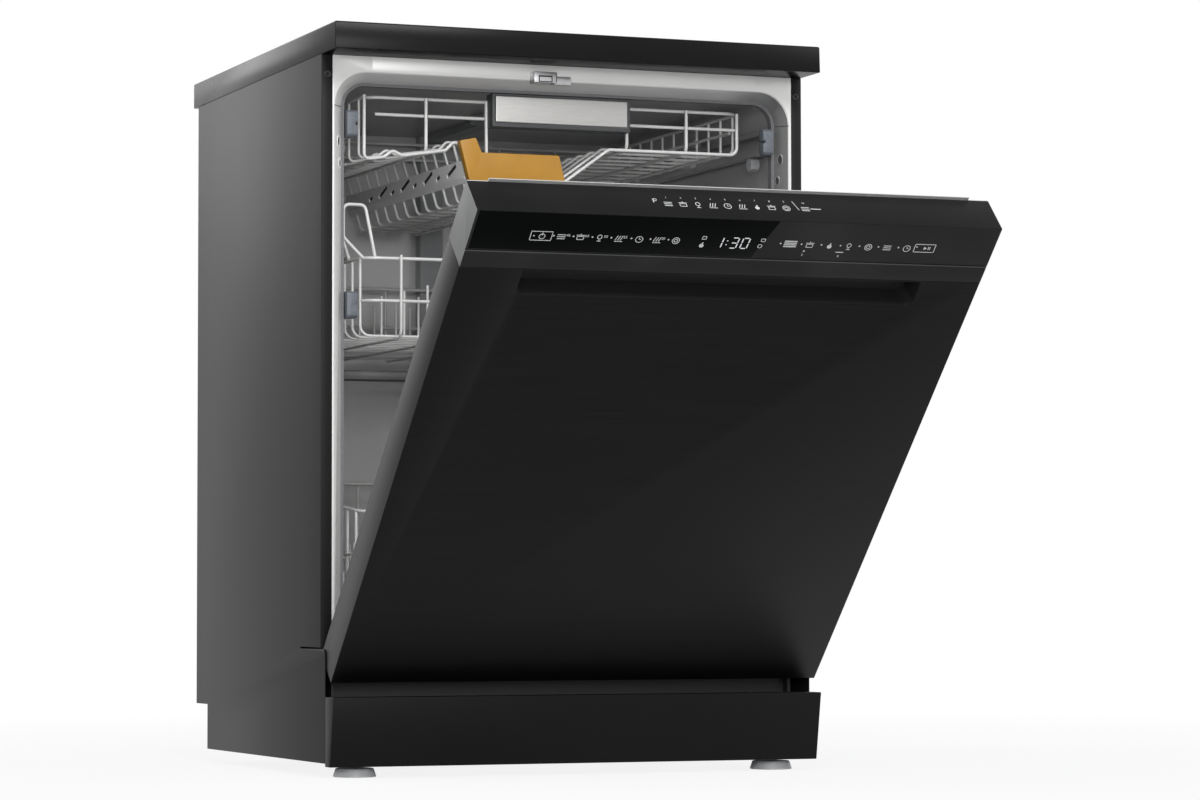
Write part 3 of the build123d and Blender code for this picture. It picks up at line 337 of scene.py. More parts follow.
catches, seams, screws, rear_screws = bmesh.new(), bmesh.new(), bmesh.new(), bmesh.new()
seam_height, seam_size = 0.7615, (0.0195, 0.0004, 0.0008)
flange_screw, flange_head = (0.2912, -0.00824, 0.7965), 0.0078
rear_flange, rear_face, rear_head = 0.2915, 0.5077, 0.009
for hand in (-1, 1):
    lip_edge, lip_run = Vector((0.2832 * hand, -0.00823, 0)), Vector((-0.0132 * hand, 0.016, 0))
    along = lip_run.normalized()
    out = Vector((-hand * along.y, hand * along.x, 0))
    for share, z, width, height in ((0.62, 0.7215, 0.0085, 0.0155), (0.8, 0.6965, 0.0075, 0.0135)):
        pressed_oval(catches, lip_edge + lip_run * share + upright * z, width, height, out, rise=0.0006)
    strip(seams, lip_edge + lip_run / 2 + upright * seam_height, seam_size, axes(along, out, upright))
    x, y, z = flange_screw
    pressed_oval(screws, (x * hand, y, z), flange_head, flange_head, Vector((0, -1, 0)), rise=0.0006)
    for z in (0.11, 0.28, 0.45, 0.62, 0.79):
        pressed_oval(rear_screws, (rear_flange * hand, rear_face, z), rear_head, rear_head,
                     Vector((0, 1, 0)), rise=0.0022)
fitting("lip_catches", catches, [frame_face, painted_shade_and_seam])
fitting("lip_seams", seams, [painted_shade_and_seam])
fitting("rear_screws", rear_screws, [zinc, painted_shade_and_seam])
fitting("flange_screws", screws, [painted_shade_and_seam, panel_paint])

# The door gasket is an extruded grey rubber profile with mitred corners.
# It is pushed on to the edge behind the frame's lip, where the closed door presses on it.
rubber = Finish("gasket_rubber")
grit = rubber.noise(scale=600, detail=3)
rubber.shade(Base_Color=rubber.mottled(grit, (0.09, 0.09, 0.095), (0.13, 0.13, 0.135)),
             Roughness=0.62 + grit * 0.15, Normal=rubber.bump(grit, 0.00005, 0.5))
dress("door_gasket", rubber)

# The hinge brackets with their pins, the balance springs and the hinge arms are zinc-plated steel.
# The brackets are screwed to the base, and the springs hook between it and the arms.
plated = Finish("zinc_plate")
cloud = plated.noise(scale=60, detail=3)
plated.shade(Base_Color=plated.mottled(cloud, (0.4, 0.4, 0.41), (0.55, 0.55, 0.56)), Metallic=1.0,
             Roughness=0.28 + cloud * 0.18)
for node in ("hinge_brackets", "door_springs", "hinge_arms"):
    dress(node, plated)

# The strike is a plated steel loop that the door's latch hooks over, with a tongue cut out of its front.
# A foot beside the loop is screwed to the frame's top strip.
softened("door_strike", plated, edge=0.0005)
low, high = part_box("door_strike")
loop_width, cut, depth = 0.028, 0.0013, 0.0002
loop_end, margin = low[0] + loop_width, 0.0055
left, right, sill, roof = low[0] + margin, loop_end - margin, low[2] + 0.0008, high[2] - 0.0042
# The cut is drawn as thin near-black strips of painted shade on the strike's face.
cuts = bmesh.new()
for x0, x1, z0, z1 in ((left, left + cut, sill, roof), (right - cut, right, sill, roof),
                       (left, right, roof - cut * 1.4, roof), (left + cut, right - cut, sill, low[2] + 0.002),
                       (loop_end - 0.0012, loop_end - 0.0002, low[2] + 0.001, high[2] - 0.001)):
    strip(cuts, ((x0 + x1) / 2, low[1], (z0 + z1) / 2), (x1 - x0, depth, z1 - z0))
fitting("strike_cuts", cuts, [painted_shade_and_seam])

# The water works are mouldings and motors below and behind the tub.
# A pipe up the back wall feeds the upper arm and ends in the sprayer at the roof.


def moulded(name, dark, light, rough, vary=0.15, scale=500):
    """A plain moulded plastic, its colour and gloss broken by the grit of the mould."""
    finish = Finish(name)
    grit = finish.noise(scale, detail=3)
    finish.shade(Base_Color=finish.mottled(grit, dark, light), Roughness=rough + grit * vary)
    return finish


grey_moulding = Finish("grey_moulding")
grit = grey_moulding.noise(scale=500, detail=3)
cloud = grey_moulding.noise(scale=20, detail=2)
grey_moulding.shade(Base_Color=grey_moulding.mottled(cloud, (0.21, 0.215, 0.22), (0.27, 0.275, 0.28)),
                    Roughness=0.42 + grit * 0.14, Normal=grey_moulding.bump(grit, 0.00004, 0.5))
white_moulding = moulded("white_moulding", (0.62, 0.62, 0.61), (0.7, 0.7, 0.69), rough=0.4, vary=0.14)
motor_paint = Finish("motor_paint")
grit = motor_paint.noise(scale=300, detail=3)
motor_paint.shade(Base_Color=motor_paint.mottled(grit, (0.05, 0.05, 0.055), (0.08, 0.08, 0.085)),
                  Metallic=0.3, Roughness=0.45 + grit * 0.15)
for node, finish in (("sump", grey_moulding), ("feed_pipe", grey_moulding),
                     ("softener_tank", white_moulding), ("inlet_valve", white_moulding),
                     ("circulation_pump", motor_paint), ("drain_pump", motor_paint)):
    dress(node, finish)

# The filter is a punched stainless plate in the tub's floor, with a moulded cylinder that lifts out of it.
# The cylinder locks in the sump by a part turn.
mesh_plate = Finish("filter_mesh")
holes = mesh_plate.node("ShaderNodeTexVoronoi", {}, {"Vector": mesh_plate.place(), "Scale": 420.0},
                        "Distance")
# The holes are painted as near-black, rougher spots of shade on a solid plate.
painted_hole_shade = holes < 0.35
mesh_plate.shade(Base_Color=mesh_plate.tint(painted_hole_shade, [(0.0, (0.5, 0.5, 0.5)), (1.0, (0.03, 0.03, 0.03))]),
                 Metallic=1.0, Roughness=0.35 + painted_hole_shade * 0.3)
dress("filter_plate", mesh_plate)
softened("filter_cylinder", grey_moulding, edge=0.0004)

# The spray arms are two dark moulded shells welded together, and spin on bushes that the water lifts.
# The upper one hangs from a manifold under the middle basket. The salt cap is of the same plastic.
arm_plastic = Finish("arm_plastic")
grit = arm_plastic.noise(scale=500, detail=3)
arm_plastic.shade(Base_Color=arm_plastic.mottled(grit, (0.02, 0.02, 0.022), (0.03, 0.03, 0.032)),
                  Roughness=0.35 + grit * 0.15, Normal=arm_plastic.bump(grit, 0.00003, 0.5))
for node in ("lower_spray_arm", "upper_spray_arm", "salt_cap"):
    softened(node, arm_plastic, edge=0.0008)
dress("spray_manifold", arm_plastic)

# Nylon rollers: grey ones on the tub's walls under the rails, pale ones on the racks inside the rails, and
# the pale wheels and clips of the lower basket.
pale_nylon = moulded("pale_nylon", (0.5, 0.5, 0.5), (0.58, 0.58, 0.58), rough=0.38)
dress("tub_rollers", grey_moulding)
for node in ("third_rack_rollers", "middle_basket_rollers", "wheel_clips"):
    dress(node, pale_nylon)
for node in ("wheels_front", "wheels_rear"):
    softened(node, pale_nylon, edge=0.0006)

# The rails are rolled stainless channels that slide on the tub's rollers.
# Their front ends wear blue-grey moulded caps that stop the racks.
rail_steel = Finish("rail_steel")
drawn = rail_steel.noise(scale=12, detail=4, stretch=(90, 2, 90))
rail_steel.shade(Base_Color=rail_steel.mottled(drawn, (0.5, 0.5, 0.5), (0.6, 0.6, 0.6)), Metallic=1.0,
                 Roughness=0.26 + drawn * 0.14)
cap_plastic = moulded("cap_plastic", (0.07, 0.08, 0.095), (0.1, 0.11, 0.125), rough=0.4)
for node in ("third_rails", "middle_rails"):
    dress(node, rail_steel)
for node in ("third_rail_stops", "middle_rail_stops"):
    softened(node, cap_plastic, edge=0.0008)

# The third rack is bent and welded steel wire with a smooth pale grey coat. Its cross wires turn up at their
# ends and are welded to the rim. Its left shelf is waved, and its floor steps down into a trough.
coat = Finish("wire_coat")
cloud = coat.noise(scale=40, detail=3)
coat.shade(Base_Color=coat.mottled(cloud, (0.46, 0.46, 0.455), (0.54, 0.54, 0.53)),
           Roughness=0.28 + cloud * 0.1, Coat_Weight=0.2)
thick, thin, hoop_bend = 0.004, 0.0034, 0.02


def drawn_out(form, edges):
    """The ring at a wire's end, extruded in place."""
    extruded = bmesh.ops.extrude_edge_only(form, edges=edges)["geom"]
    return [item for item in extruded if isinstance(item, bmesh.types.BMEdge)]


def ring_of(edges):
    return list(dict.fromkeys(corner for edge in edges for corner in edge.verts))


def bent_wire(points, thickness, bend):
    """One length of wire through the points, bent at each corner."""
    route = [Vector(point) for point in points]
    form = bmesh.new()
    heading = (route[1] - route[0]).normalized()
    stand = Matrix.Translation(route[0]) @ heading.to_track_quat("Z", "Y").to_matrix().to_4x4()
    bmesh.ops.create_circle(form, segments=8, radius=thickness / 2, matrix=stand)
    ends = list(form.edges)
    bmesh.ops.edgeloop_fill(form, edges=ends)
    place = route[0]
    for step, corner in enumerate(route[1:], 2):
        turn, cut_back = 0.0, 0.0
        if step < len(route):
            leaving = (route[step] - corner).normalized()
            turn = heading.angle(leaving)
            cut_back = bend * math.tan(turn / 2)
        run = corner - heading * cut_back
        ends = drawn_out(form, ends)
        bmesh.ops.translate(form, verts=ring_of(ends), vec=run - place)
        if turn:
            axis = heading.cross(leaving).normalized()
            centre = run + axis.cross(heading) * bend
            count = max(2, round(math.degrees(turn) / 18))
            for _ in range(count):
                ends = drawn_out(form, ends)
                bmesh.ops.rotate(form, verts=ring_of(ends), cent=centre,
                                 matrix=Matrix.Rotation(turn / count, 3, axis))
            heading, run = leaving, corner + leaving * cut_back
        place = run
    bmesh.ops.edgeloop_fill(form, edges=ends)
    bmesh.ops.recalc_face_normals(form, faces=form.faces)
    mesh = bpy.data.meshes.new("wire")
    form.to_mesh(mesh)
    form.free()
    return mesh


class WireFrame:
    """Bent wires laid at their places and welded into one frame."""

    def __init__(self):
        self.form = bmesh.new()

    def wire(self, points, thickness, bend=0.01, places=((0, 0, 0),)):
        mesh = bent_wire(points, thickness, bend)
        for place in places:
            mesh.transform(Matrix.Translation(place))
            self.form.from_mesh(mesh)
            mesh.transform(Matrix.Translation(-Vector(place)))
        bpy.data.meshes.remove(mesh)

    def hoop(self, side, front, back, front_height, back_height):
        """A closed hoop round a basket, joined at the middle of its front."""
        self.wire([(0, front, front_height), (-side, front, front_height), (-side, back, back_height),
                   (side, back, back_height), (side, front, front_height), (0, front, front_height)],
                  thick, hoop_bend)

    def weld(self, name, node):
        made(name, self.form, [coat], nodes[node]["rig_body"], node, crease=60)


def spread(first, last, count):
    return [first + (last - first) * step / (count - 1) for step in range(count)]


rack_side, rack_front, rack_back = 0.235, 0.0308, 0.4658
rim, second, shelf, tray, trough = 0.7775, 0.758, 0.705, 0.728, 0.662
handle_end, tray_edge = 0.087, 0.066
lap, stand_off = 0.003, 0.0035
front_line, proud_line = rack_front - lap, rack_front - stand_off
wave = [(-0.212, 0.7085), (-0.2017, 0.7165), (-0.19, 0.711),
        (-0.137, 0.719), (-0.128, 0.7285), (-0.12, 0.7285)]
third = WireFrame()
third.wire([(-handle_end, rack_front, rim), (-rack_side, rack_front, rim), (-rack_side, rack_back, rim),
            (rack_side, rack_back, rim), (rack_side, rack_front, rim), (handle_end, rack_front, rim)],
           thick, hoop_bend)
third.wire([(-0.222, rack_front, second), (-handle_end, rack_front, second)], thick)
third.wire([(handle_end, rack_front, second), (0.233, rack_front, second)], thick)
third.wire([(-rack_side, 0.06, second), (-rack_side, rack_back, second), (rack_side, rack_back, second),
            (rack_side, 0.06, second)], thick, hoop_bend)
third.wire([(-0.236, front_line, rim + 0.002), (-0.236, front_line, shelf),
            *[(x, front_line, z) for x, z in wave], (-0.1, front_line, trough)], thick, bend=0.006)
third.wire([(0.2305, front_line, rim), (0.2305, front_line, tray), (tray_edge, front_line, tray),
            (-0.02, front_line, 0.666)], thick, bend=0.009)
third.wire([(-rack_side, 0, rim), (-rack_side, 0, shelf + lap), *[(x, 0, z + lap) for x, z in wave],
            (-0.101, 0, trough + lap), (-0.025, 0, trough + lap), (tray_edge, 0, tray + lap),
            (rack_side, 0, tray + lap), (rack_side, 0, rim)], thin, 0.006,
           [(0, y, 0) for y in spread(rack_front + 0.02, rack_back - 0.012, 12)])
for x, floor_height in ((-0.161, 0.7154), (0.089, tray), (0.165, tray)):
    third.wire([(x, proud_line, rim + 0.001), (x, proud_line, floor_height), (x, rack_back, floor_height),
                (x, rack_back, rim)], thick, bend=0.009)
for x, floor_height in ((-0.222, 0.7066), (0.215, tray)):
    third.wire([(x, rack_front - 0.002, floor_height), (x, rack_back, floor_height), (x, rack_back, rim)],
               thick, bend=0.009)
third.wire([(-handle_end, proud_line, rim + 0.001), (-handle_end, proud_line, trough + 0.02)], thick)
for x, z in ((-0.1, trough), (-0.0625, trough), (-0.025, trough), (0.005, 0.6824), (0.036, 0.7048)):
    third.wire([(x, rack_front - 0.002, z), (x, rack_back + 0.002, z)], thin)
third.weld("third_rack_frame", "third_rack_wires")

# The insert is a grey moulded sheet, slotted on the slant and turned in along its lower edge.
# It clips to the outside of the wires on the trough's left slope, and a near-black sheet of painted shade
# behind closes its slots.
insert_plastic = moulded("insert_plastic", (0.7, 0.7, 0.69), (0.76, 0.76, 0.75), rough=0.45)
low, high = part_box("cutlery_insert")
slope_top = Vector((-0.12, 0, 0.7315))
down = Vector((0.019, 0, trough + lap - slope_top.z)).normalized()
out = Vector((down.z, 0, -down.x))
sheet_top, sheet_foot, turned_foot = 0.0235, 0.0424, 0.0492
sheet_back, sheet_gauge, backing, turned_out, turned_back = 0.0024, 0.0014, 0.0006, 0.002, 0.0032
long_slots, short_slots = (0.07, 0.0316, 0.0195, 0.005, 0.0024), (0.121, 0.0352, 0.0076, 0.0018, 0.0022)
slot_pitch, slot_count = 0.085, 4
insert = bmesh.new()


def slope_loop(corners):
    """The edges of a closed loop on the insert's back, from pairs of depth and way down the slope."""
    points = [insert.verts.new(slope_top + Vector((0, y, 0)) + down * way + out * sheet_back)
              for y, way in corners]
    return [insert.edges.new(pair) for pair in zip(points, points[1:] + points[:1])]


def slope_strip(top, foot, back, front):
    """A strip as long as the insert, lying on the slope."""
    centre = Vector((0, (low[1] + high[1]) / 2, 0)) + down * (top + foot) / 2 + out * (back + front) / 2
    return strip(insert, slope_top + centre, (high[1] - low[1], foot - top, front - back),
                 axes(Vector((0, 1, 0)), down, out))


cut_edges = slope_loop([(low[1], sheet_top), (high[1], sheet_top),
                        (high[1], sheet_foot), (low[1], sheet_foot)])
for first, way, reach, drop, half in (long_slots, short_slots):
    for y in [first + slot_pitch * step for step in range(slot_count)]:
        cut_edges += slope_loop([(y - reach, way - drop - half), (y + reach, way + drop - half),
                                 (y + reach, way + drop + half), (y - reach, way - drop + half)])
filled = bmesh.ops.triangle_fill(insert, edges=cut_edges, use_beauty=True)["geom"]
filled = [item for item in filled if isinstance(item, bmesh.types.BMFace)]
raised = bmesh.ops.extrude_face_region(insert, geom=filled)["geom"]
bmesh.ops.translate(insert, verts=[item for item in raised if isinstance(item, bmesh.types.BMVert)],
                    vec=out * sheet_gauge)
# The backing sheet takes the near-black finish: painted shade in the slots.
for corner in slope_strip(sheet_top + 0.0004, sheet_foot - 0.0004, sheet_back - backing, sheet_back):
    for side_face in corner.link_faces:
        side_face.material_index = 1
turned_edge = slope_strip(sheet_foot, turned_foot, sheet_back - backing,
                          sheet_back + sheet_gauge + turned_out)
lower_front = [corner for corner in turned_edge if (corner.co - slope_top).dot(down) > turned_foot - 1e-4
               and (corner.co - slope_top).dot(out) > sheet_back]
bmesh.ops.translate(insert, verts=lower_front, vec=-out * turned_back)
bmesh.ops.recalc_face_normals(insert, faces=insert.faces)
made("trough_insert", insert, [insert_plastic, painted_shade_and_seam], nodes["cutlery_insert"]["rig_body"],
     "cutlery_insert")

# The third rack's handle is a dark moulding that closes the gap in the rim's front wire.
# A satin metal plate is let into its face.
handle_plastic = moulded("handle_plastic", (0.024, 0.025, 0.027), (0.034, 0.035, 0.037), rough=0.4)
softened("third_rack_handle", handle_plastic, edge=0.0006)
plate_finish = Finish("handle_plate")
satin = plate_finish.noise(scale=30, detail=4, stretch=(3, 40, 60))
plate_finish.shade(Base_Color=plate_finish.mottled(satin, (0.38, 0.375, 0.365), (0.44, 0.435, 0.425)),
                   Metallic=0.7, Roughness=0.34 + satin * 0.12)
softened("third_rack_plate", plate_finish, edge=0.0004)

# The tab is an amber moulding clipped to the front wires over the trough.
# Its face is plain, with a small step in its upper edge.
amber = Finish("amber_plastic")
grit = amber.noise(scale=500, detail=3)
cloud = amber.noise(scale=25, detail=2)
amber.shade(Base_Color=amber.mottled(cloud, (0.3, 0.142, 0.009), (0.35, 0.172, 0.013)),
            Roughness=0.4 + grit * 0.12)
softened("zone_tab", amber, edge=0.0008)

# The middle basket is a box of coated wire with rows of upright tines welded to its floor.
# A loop stands up at its front left corner.


def tine_comb(name, node, half_width, foot, tip, rows, across):
    """Rows of upright tines, each welded to a bar across the basket's floor."""
    comb = WireFrame()
    comb.wire([(-half_width, 0, foot), (half_width, 0, foot)], thin, places=[(0, y, 0) for y in rows])
    comb.wire([(0, 0.0025, foot), (0, 0.0025, tip)], thin, places=[(x, y, 0) for y in rows for x in across])
    comb.weld(name, node)


base, waist, top, floor_bend = 0.5, 0.543, 0.592, 0.012
loop_line, loop_side, loop_top = rack_front + 0.004, -0.2585, 0.653
middle = WireFrame()
for z in (waist, top):
    middle.hoop(rack_side, rack_front, rack_back, z, z)
middle.wire([(-rack_side, 0, top), (-rack_side, 0, base + lap), (rack_side, 0, base + lap),
             (rack_side, 0, top)], thin, floor_bend,
            [(0, y, 0) for y in spread(rack_front + 0.014, rack_back - 0.014, 15)])
middle.wire([(0, proud_line, top + 0.004), (0, proud_line, base), (0, rack_back + stand_off, base),
             (0, rack_back + stand_off, top + 0.004)], thin, floor_bend,
            [(x, 0, 0) for x in spread(-0.191, 0.191, 7)])
middle.wire([(-rack_side, loop_line, top), (loop_side, loop_line, 0.615), (loop_side, loop_line, loop_top),
             (-0.2325, loop_line, loop_top), (-0.2195, loop_line, top - 0.002)], thick, bend=0.007)
middle.weld("middle_basket_frame", "middle_basket_wires")
floor_bars = spread(0.0348, 0.4618, 6)
tine_rows = [(one + two) / 2 for one, two in zip(floor_bars, floor_bars[1:])]
tine_comb("middle_basket_comb", "middle_basket_tines", 0.231, base + stand_off, 0.566, tine_rows,
          (-0.141, -0.094, -0.047, 0.047, 0.094, 0.141))

# A small shelf of the same coated wire hinges on the middle basket's left side.
# It folds down over the basket and leans a little outwards when it is up.
lean = Vector((-0.018, 0, 0.053))
hinge_line = Vector((-rack_side, 0, 0.5957))
shelf_near, shelf_far = 0.0878, 0.4078
near_foot, far_foot = hinge_line + Vector((0, shelf_near, 0)), hinge_line + Vector((0, shelf_far, 0))
fold_shelf = WireFrame()
fold_shelf.wire([near_foot, near_foot + lean, far_foot + lean, far_foot, near_foot + Vector((0, 0.001, 0))],
                thick, bend=0.008)
fold_shelf.wire([near_foot + lean / 2, far_foot + lean / 2], thin)
fold_shelf.wire([hinge_line, hinge_line + lean], thin,
                places=[(0, y, 0) for y in spread(shelf_near + 0.04, shelf_far - 0.04, 6)])
fold_shelf.weld("cup_shelf_frame", "cup_shelf")

# The lower basket is the deepest, of the same coated wire, with a rim that rises to the back.
# Ten rows of upright tines are welded to its floor, and it runs on four wheels clipped to its sides.
side, near = 0.243, 0.0178
base, waist, low_rim, high_rim = 0.182, 0.252, 0.3, 0.345
lower = WireFrame()
lower.hoop(side, near, rack_back, low_rim, high_rim)
lower.hoop(side, near, rack_back, waist, waist)
for y in spread(near + 0.016, rack_back - 0.016, 14):
    height = low_rim + (high_rim - low_rim) * (y - near) / (rack_back - near)
    lower.wire([(-side, y, height), (-side, y, base + lap), (side, y, base + lap), (side, y, height)],
               thin, floor_bend)
lower.wire([(0, near - stand_off, low_rim + 0.001), (0, near - stand_off, base),
            (0, rack_back + stand_off, base), (0, rack_back + stand_off, high_rim)], thin, floor_bend,
           [(x, 0, 0) for x in spread(-0.2, 0.2, 9)])
lower.weld("lower_basket_frame", "lower_basket_wires")
floor_bars = spread(0.0218, 0.4618, 6)
gap = floor_bars[1] - floor_bars[0]
tine_rows = [bar + gap * share for bar in floor_bars[:-1] for share in (1 / 3, 2 / 3)]
tine_comb("lower_basket_comb", "lower_basket_tines", 0.239, base + stand_off, 0.268, tine_rows,
          (-0.182, -0.121, -0.061, 0.061, 0.121, 0.182))

# The door's outer panel is black steel brushed from side to side, folded round the door's edges,
# with a window cut in it for the hand pocket.
door_steel = Finish("black_brushed_steel")
long_grain = door_steel.noise(scale=6, detail=6, stretch=(1.2, 160, 160), roughness=0.6)
fine_grain = door_steel.noise(scale=4, detail=3, stretch=(5, 900, 900))
tone = long_grain * 0.6 + fine_grain * 0.4
dark_grain, light_grain = (0.005, 0.005, 0.005), (0.0105, 0.0105, 0.0105)
door_steel.shade(Base_Color=door_steel.tint(tone, [(0.32, dark_grain), (0.68, light_grain)]),
                 Metallic=0.75, Roughness=0.38 + tone * 0.16, Specular_IOR_Level=0.2,
                 Normal=door_steel.bump(tone, 0.00004, 0.35))
softened("door_outer_panel", door_steel, edge=0.0006)

# The hand pocket is a black moulding that snaps in behind the panel's window.
# It is open to the front and to the handle strip above it.
pocket_plastic = moulded("pocket_plastic", (0.006, 0.006, 0.0065), (0.009, 0.009, 0.0095),
                         rough=0.42, scale=600)
dress("hand_pocket", pocket_plastic)

# The console is a black satin moulding screwed to the top of the door, with a handle strip along its foot.
# A highlight is painted along the strip's upper edge and shade across the console's top, and the two ends are
# a lighter grey.
console_plastic = Finish("console_plastic")
grit = console_plastic.noise(scale=900, detail=3)
cloud = console_plastic.noise(scale=8, detail=2)
upward = console_plastic.axis("Z", console_plastic.place((1, 1, 1), (math.radians(-45), 0, 0)))
top_edge, strip_foot, strip_edge, console_end = 0.7919, 0.7381, 0.7392, 0.2966
# Painted shade across the top face, and a painted highlight along the strip's upper edge.
edge = (upward > top_edge) * 0.5
painted_edge_highlight = (upward > strip_foot) * (upward < strip_edge) * 0.17
end = (console_plastic.axis("X") > console_end) + (console_plastic.axis("X") < -console_end)
brightness = cloud * 0.1 + 0.2 - edge * 0.2 + painted_edge_highlight + end * 0.6
console_plastic.shade(Base_Color=console_plastic.tint(brightness, [(0.1, (0.002, 0.002, 0.002)),
                                                                   (0.25, (0.014, 0.014, 0.014)),
                                                                   (0.8, (0.16, 0.16, 0.16))]),
                      Roughness=0.4 + grit * 0.08, Specular_IOR_Level=0.06,
                      Normal=console_plastic.bump(grit, 0.00002, 0.5))
softened("console_fascia", console_plastic, edge=0.0005)

# The window is gloss black glass with a slanted end, bonded flush into the console's left half.
# The control board, a green laminate with tinned tracks, is clipped behind it.
window = Finish("gloss_window")
cloud = window.noise(scale=10, detail=2)
window.shade(Base_Color=window.mottled(cloud, (0.0012, 0.0016, 0.0014), (0.0018, 0.0022, 0.002)),
             Roughness=0.1 + cloud * 0.06, Specular_IOR_Level=0.02)
softened("console_glass", window, edge=0.0002)
board = Finish("circuit_board")
tracks = board.node("ShaderNodeTexVoronoi", {"distance": "MANHATTAN"},
                    {"Vector": board.place(), "Scale": 160.0}, "Distance")
board.shade(Base_Color=board.tint(tracks, [(0.2, (0.35, 0.25, 0.08)), (0.3, (0.02, 0.1, 0.04))]),
            Roughness=0.4 + tracks * 0.1)
dress("control_board", board)

# The console's marks are pale ink printed on the window and on the moulding: a row of programmes,
# a row of options, a power key and a start key, with plain numbers beside the programmes.
ink = Finish("pale_ink")
worn = ink.noise(scale=900, detail=2)
ink.shade(Base_Color=ink.mottled(worn, (0.36, 0.36, 0.36), (0.46, 0.46, 0.46)), Roughness=0.45 + worn * 0.1)
film = 0.00008
cabinet_front = -0.06222666
door_face, door_top = 0.005 + cabinet_front, 0.8114
front_face = Matrix.Translation((0, door_face - film, 0)) @ Matrix.Rotation(math.radians(90), 4, "X")
pivot = Vector((0, 0.0336 + cabinet_front, 0.1341))
half_open = Matrix.Translation(pivot) @ Matrix.Rotation(math.radians(45), 4, "X") @ Matrix.Translation(-pivot)


class Print:
    """Marks drawn flat on one face of the console, in metres across from its middle and up from its foot."""

    def __init__(self):
        self.form = bmesh.new()

    def bar(self, x, y, width, height, slant=0.0):
        shear = Matrix.Identity(4)
        shear[0][1] = slant
        scale = Matrix.Diagonal((width, height, 1, 1))
        bmesh.ops.create_grid(self.form, x_segments=1, y_segments=1, size=0.5,
                              matrix=Matrix.Translation((x, y, 0)) @ shear @ scale)

    def dot(self, x, y, radius=0.001):
        bmesh.ops.create_circle(self.form, cap_ends=True, segments=10, radius=radius,
                                matrix=Matrix.Translation((x, y, 0)))

    def ring(self, x, y, radius, line=0.0008, flat=1.0):
        edges = []
        for size in (radius, radius - line):
            place = Matrix.Translation((x, y, 0)) @ Matrix.Diagonal((1, flat, 1, 1))
            corners = bmesh.ops.create_circle(self.form, segments=16, radius=size, matrix=place)["verts"]
            edges += dict.fromkeys(edge for corner in corners for edge in corner.link_edges)
        bmesh.ops.bridge_loops(self.form, edges=edges)

    def box(self, x, y, width, height, line=0.0008):
        for side in (-1, 1):
            self.bar(x, y + side * (height - line) / 2, width, line)
            self.bar(x + side * (width - line) / 2, y, line, height)

    def arrow(self, x, y, size):
        stand = Matrix.Translation((x, y, 0)) @ Matrix.Rotation(math.radians(-90), 4, "Z")
        bmesh.ops.create_circle(self.form, cap_ends=True, segments=3, radius=size, matrix=stand)

    def number(self, text, x, y, size):
        curve = bpy.data.curves.new("lettering", "FONT")
        curve.body, curve.size = text, size
        curve.align_x, curve.align_y = "CENTER", "CENTER"
        holder = bpy.data.objects.new("lettering", curve)
        mesh = holder.to_mesh()
        mesh.transform(Matrix.Translation((x, y, 0)))
        self.form.from_mesh(mesh)
        holder.to_mesh_clear()
        bpy.data.objects.remove(holder)
        bpy.data.curves.remove(curve)

    def pot(self, x, y):
        self.box(x, y - 0.0008, 0.008, 0.005)
        self.bar(x, y + 0.0028, 0.0094, 0.0008)
        self.dot(x, y + 0.004, 0.0007)

    def plates(self, x, y):
        for step in range(3):
            self.bar(x, y - 0.0026 + 0.0026 * step, 0.009, 0.001, 0.2)

    def glass(self, x, y):
        self.ring(x, y + 0.0014, 0.0028, flat=1.1)
        self.bar(x, y - 0.0027, 0.0008, 0.0026)
        self.bar(x, y - 0.0041, 0.0044, 0.0008)

    def plate(self, x, y):
        self.ring(x, y, 0.0044)
        self.ring(x, y, 0.0024)

    def spray(self, x, y):
        for step in (-1, 0, 1):
            self.bar(x + 0.0028 * step, y + 0.0008, 0.0009, 0.006, 0.35)
        self.bar(x, y - 0.0036, 0.0092, 0.0008)

    def clock(self, x, y):
        self.ring(x, y, 0.0044)
        self.bar(x, y + 0.0013, 0.0007, 0.0027)
        self.bar(x + 0.0011, y, 0.0022, 0.0007)

    def drop(self, x, y):
        self.dot(x, y - 0.001, 0.0026)
        self.bar(x + 0.0003, y + 0.002, 0.0014, 0.003, 0.25)

    def fix(self, name, face, finish):
        bmesh.ops.solidify(self.form, geom=self.form.faces[:], thickness=film * 0.9)
        self.form.transform(half_open @ face)
        made(name, self.form, [finish], "door")


door_foot = 0.124
row = door_foot + 0.657
symbol_line, number_line, number_size = row - 0.001, row + 0.001, 0.0045
power_line, start_line, scale_line, scale_foot = [door_foot + up for up in (0.6562, 0.6571, 0.6478, 0.6425)]
marks = Print()
marks.box(-0.2195, power_line, 0.024, 0.0125)
marks.dot(-0.2275, power_line, 0.0009)
marks.ring(-0.2185, door_foot + 0.6556, 0.0036)
marks.bar(-0.2185, door_foot + 0.6588, 0.0009, 0.0034)
for x in (-0.206, -0.1843, -0.1634, -0.1425, -0.1203, -0.0992, -0.0791):
    marks.dot(x, row)
for symbol, x, text, text_x in ((marks.plates, -0.1975, "45", -0.19), (marks.pot, -0.1765, "65", -0.1695),
                                (marks.glass, -0.1555, "50", -0.149), (marks.spray, -0.134, "55", -0.1272),
                                (marks.clock, -0.1115, None, None), (marks.spray, -0.0915, "30", -0.085),
                                (marks.plate, -0.0705, None, None)):
    symbol(x, symbol_line)
    if text:
        marks.number(text, text_x, number_line, number_size)
marks.box(-0.0397, door_foot + 0.661, 0.0052, 0.0044)
marks.drop(-0.0403, door_foot + 0.6515)
marks.fix("window_print", front_face, ink)
marks = Print()
marks.box(0.0272, door_foot + 0.6605, 0.0052, 0.0044)
marks.ring(0.0255, door_foot + 0.6525, 0.0027)
for x in (0.048, 0.072, 0.095, 0.117, 0.139, 0.1612, 0.1845):
    marks.dot(x, row)
